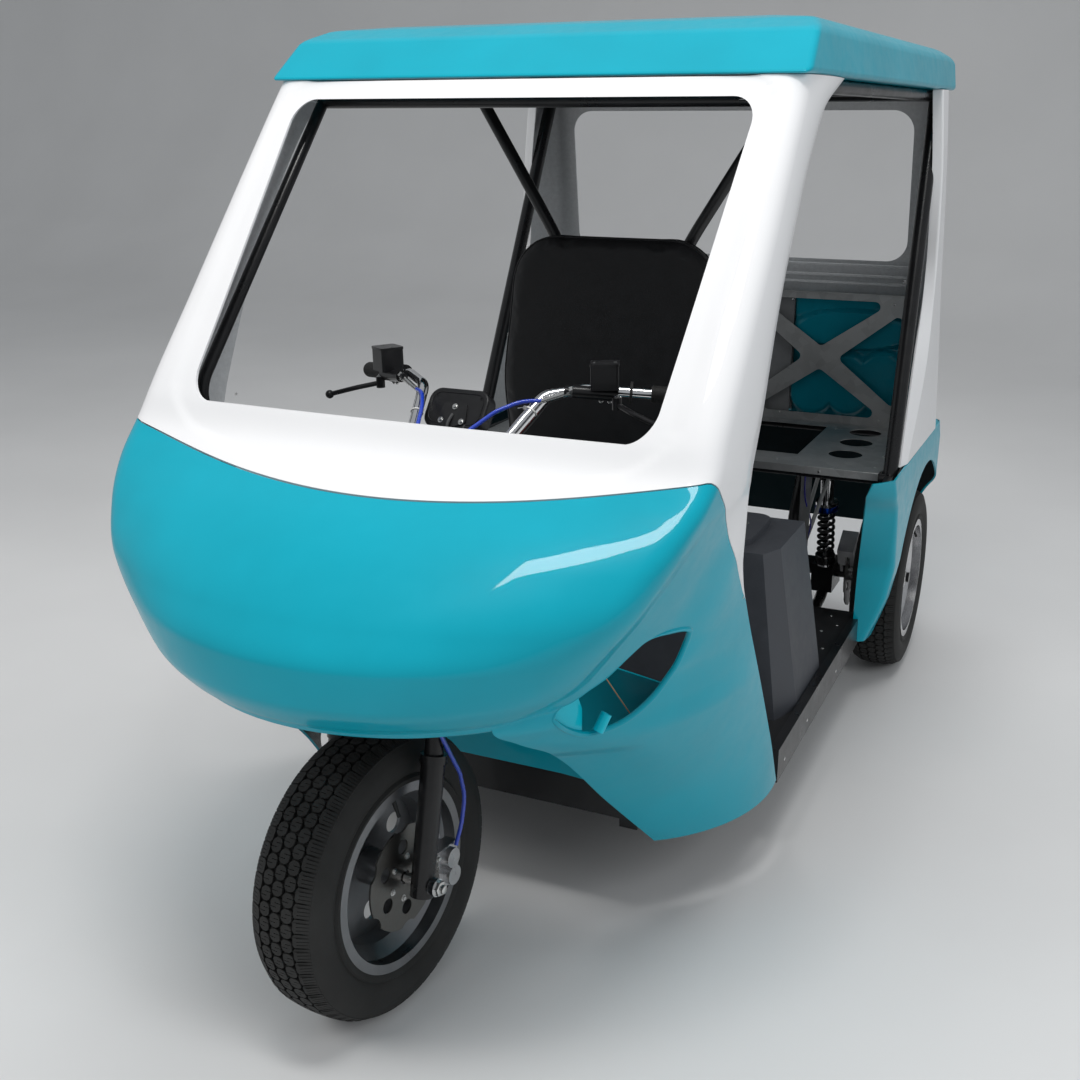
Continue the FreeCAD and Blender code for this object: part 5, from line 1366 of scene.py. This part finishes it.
def swell(made, low, high, cap):
    """Inflates a pad with cloth, then holds each point near its start and inside its space."""
    start = np.array([vertex.co[:] for vertex in made.data.vertices])
    cloth = made.modifiers.new("cloth", "CLOTH")
    set_up(cloth.settings, use_pressure=True, uniform_pressure_force=4.0, quality=5, mass=0.4)
    cloth.settings.effector_weights.gravity = 0.0
    set_up(cloth.point_cache, frame_start=1, frame_end=20)
    for number in range(1, 21):
        bpy.context.scene.frame_set(number)
    apply_modifiers(made)
    bpy.context.scene.frame_set(1)
    move = np.array([vertex.co[:] for vertex in made.data.vertices]) - start
    far = np.linalg.norm(move, axis=1)
    move *= (cap * np.tanh(far / cap) / np.maximum(far, 1e-9))[:, None]
    spots = np.clip(start + move, np.array(low) + 0.0006, np.array(high) - 0.0006)
    for vertex, spot in zip(made.data.vertices, spots):
        vertex.co = spot


def seat_pad(name, node, corner, seam_at):
    """A pad swollen in the space of its CAD solid, with piping at each depth of seam_at."""
    low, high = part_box(node)
    inset = Vector((PAD_INSET,) * 3)
    made = pad_block(name, node, low + inset, high - inset, corner)
    swell(made, low, high, PAD_INSET)
    set_up(made.modifiers.new("fine", "SUBSURF"), levels=1, render_levels=1)
    apply_modifiers(made)
    for polygon in made.data.polygons:
        polygon.use_smooth = True
    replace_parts(made, node)
    skin, seam = skin_of(made), Bundle()
    outline = even_steps(pad_line(node, low + inset, high - inset, *corner, 14), 0.02)
    for depth in seam_at:
        path = []
        for x, y in outline:
            spot = (x, low.y + depth, y) if node == "seat_back" else (x, y, low.z + depth)
            near, normal = skin.find_nearest(spot)[:2]
            path.append(np.clip(near + normal * 0.0008, np.array(low) + 0.0028,
                                np.array(high) - 0.0028))
        seam.tube(path, 2.6, 8, closed=True)
    seam.make(name + "_piping", "piping", "vinyl")


PAD_INSET = 0.009


def even_steps(outline, step):
    """Places at even distances along a closed outline."""
    closed = np.vstack([outline, outline[:1]])
    along = np.concatenate([[0], np.cumsum(np.linalg.norm(np.diff(closed, axis=0), axis=1))])
    places = np.linspace(0, along[-1], int(along[-1] / step), endpoint=False)
    return np.column_stack([np.interp(places, along, closed[:, k]) for k in (0, 1)])


seat_brace()
seat_pad("seat_back_pad", "seat_back", (0.13, 0.08), (0.014, 0.046))
seat_pad("seat_cushion_pad", "seat_cushion", (0.06, 0.03), (0.062,))


# Studio: floor, backdrop, lights and camera
def studio():
    sweep = [(-9.0, 0.0), (6.0, 0.0), (7.2, 0.12), (8.2, 0.6), (8.8, 1.5), (9.0, 2.6), (9.0, 9.0)]
    points = [(x, y, z) for y, z in sweep for x in (-14.0, 14.0)]
    faces = [(2 * k, 2 * k + 1, 2 * k + 3, 2 * k + 2) for k in range(len(sweep) - 1)]
    floor = piece("studio_floor", points, faces, "studio_floor", body=None)
    world = bpy.data.worlds.new("studio")
    bpy.context.scene.world = world
    world.use_nodes = True
    sky = world.node_tree.nodes["Background"].inputs
    sky["Color"].default_value = (0.86, 0.89, 0.92, 1)
    sky["Strength"].default_value = 0.42
    for name, place, size, power, color, glossy in (
            ("key", (0.55, -1.85, 5.1), (1.7, 0.75), 68, (1.0, 0.99, 0.97), True),
            ("front", (-2.2, -4.2, 4.4), (2.6, 1.6), 70, (1.0, 0.99, 0.97), False),
            ("window", (4.6, -1.6, 3.4), (1.6, 2.6), 60, (0.95, 0.98, 1.0), False),
            ("ceiling", (0.0, 0.6, 5.2), (4.2, 5.0), 110, (1.0, 1.0, 1.0), False)):
        lamp = bpy.data.lights.new(name, "AREA")
        set_up(lamp, shape="RECTANGLE", size=size[0], size_y=size[1], energy=power, color=color)
        holder = bpy.data.objects.new(name, lamp)
        aim = Vector((0, -0.1, 0.7)) - Vector(place)
        set_up(holder, location=place, visible_glossy=glossy, rotation_mode="QUATERNION",
               rotation_quaternion=aim.to_track_quat("-Z", "Y"))
        bpy.context.scene.collection.objects.link(holder)


def camera():
    """The photograph's camera, solved from symmetric points of the vehicle."""
    forward = Vector((-0.3944, 0.8654, -0.3092)).normalized()
    right = Vector((0.9100, 0.4147, 0.0)).normalized()
    up = right.cross(forward)
    data = bpy.data.cameras.new("camera")
    data.sensor_width = 36.0
    data.lens = 43.0
    holder = bpy.data.objects.new("camera", data)
    turn = Matrix((right, up, -forward)).transposed().to_4x4()
    holder.matrix_world = Matrix.Translation(Vector((1.1407, -2.8257, 1.59))) @ turn
    bpy.context.scene.collection.objects.link(holder)
    bpy.context.scene.camera = holder


studio()
camera()
bpy.context.scene.view_settings.view_transform = "Standard"
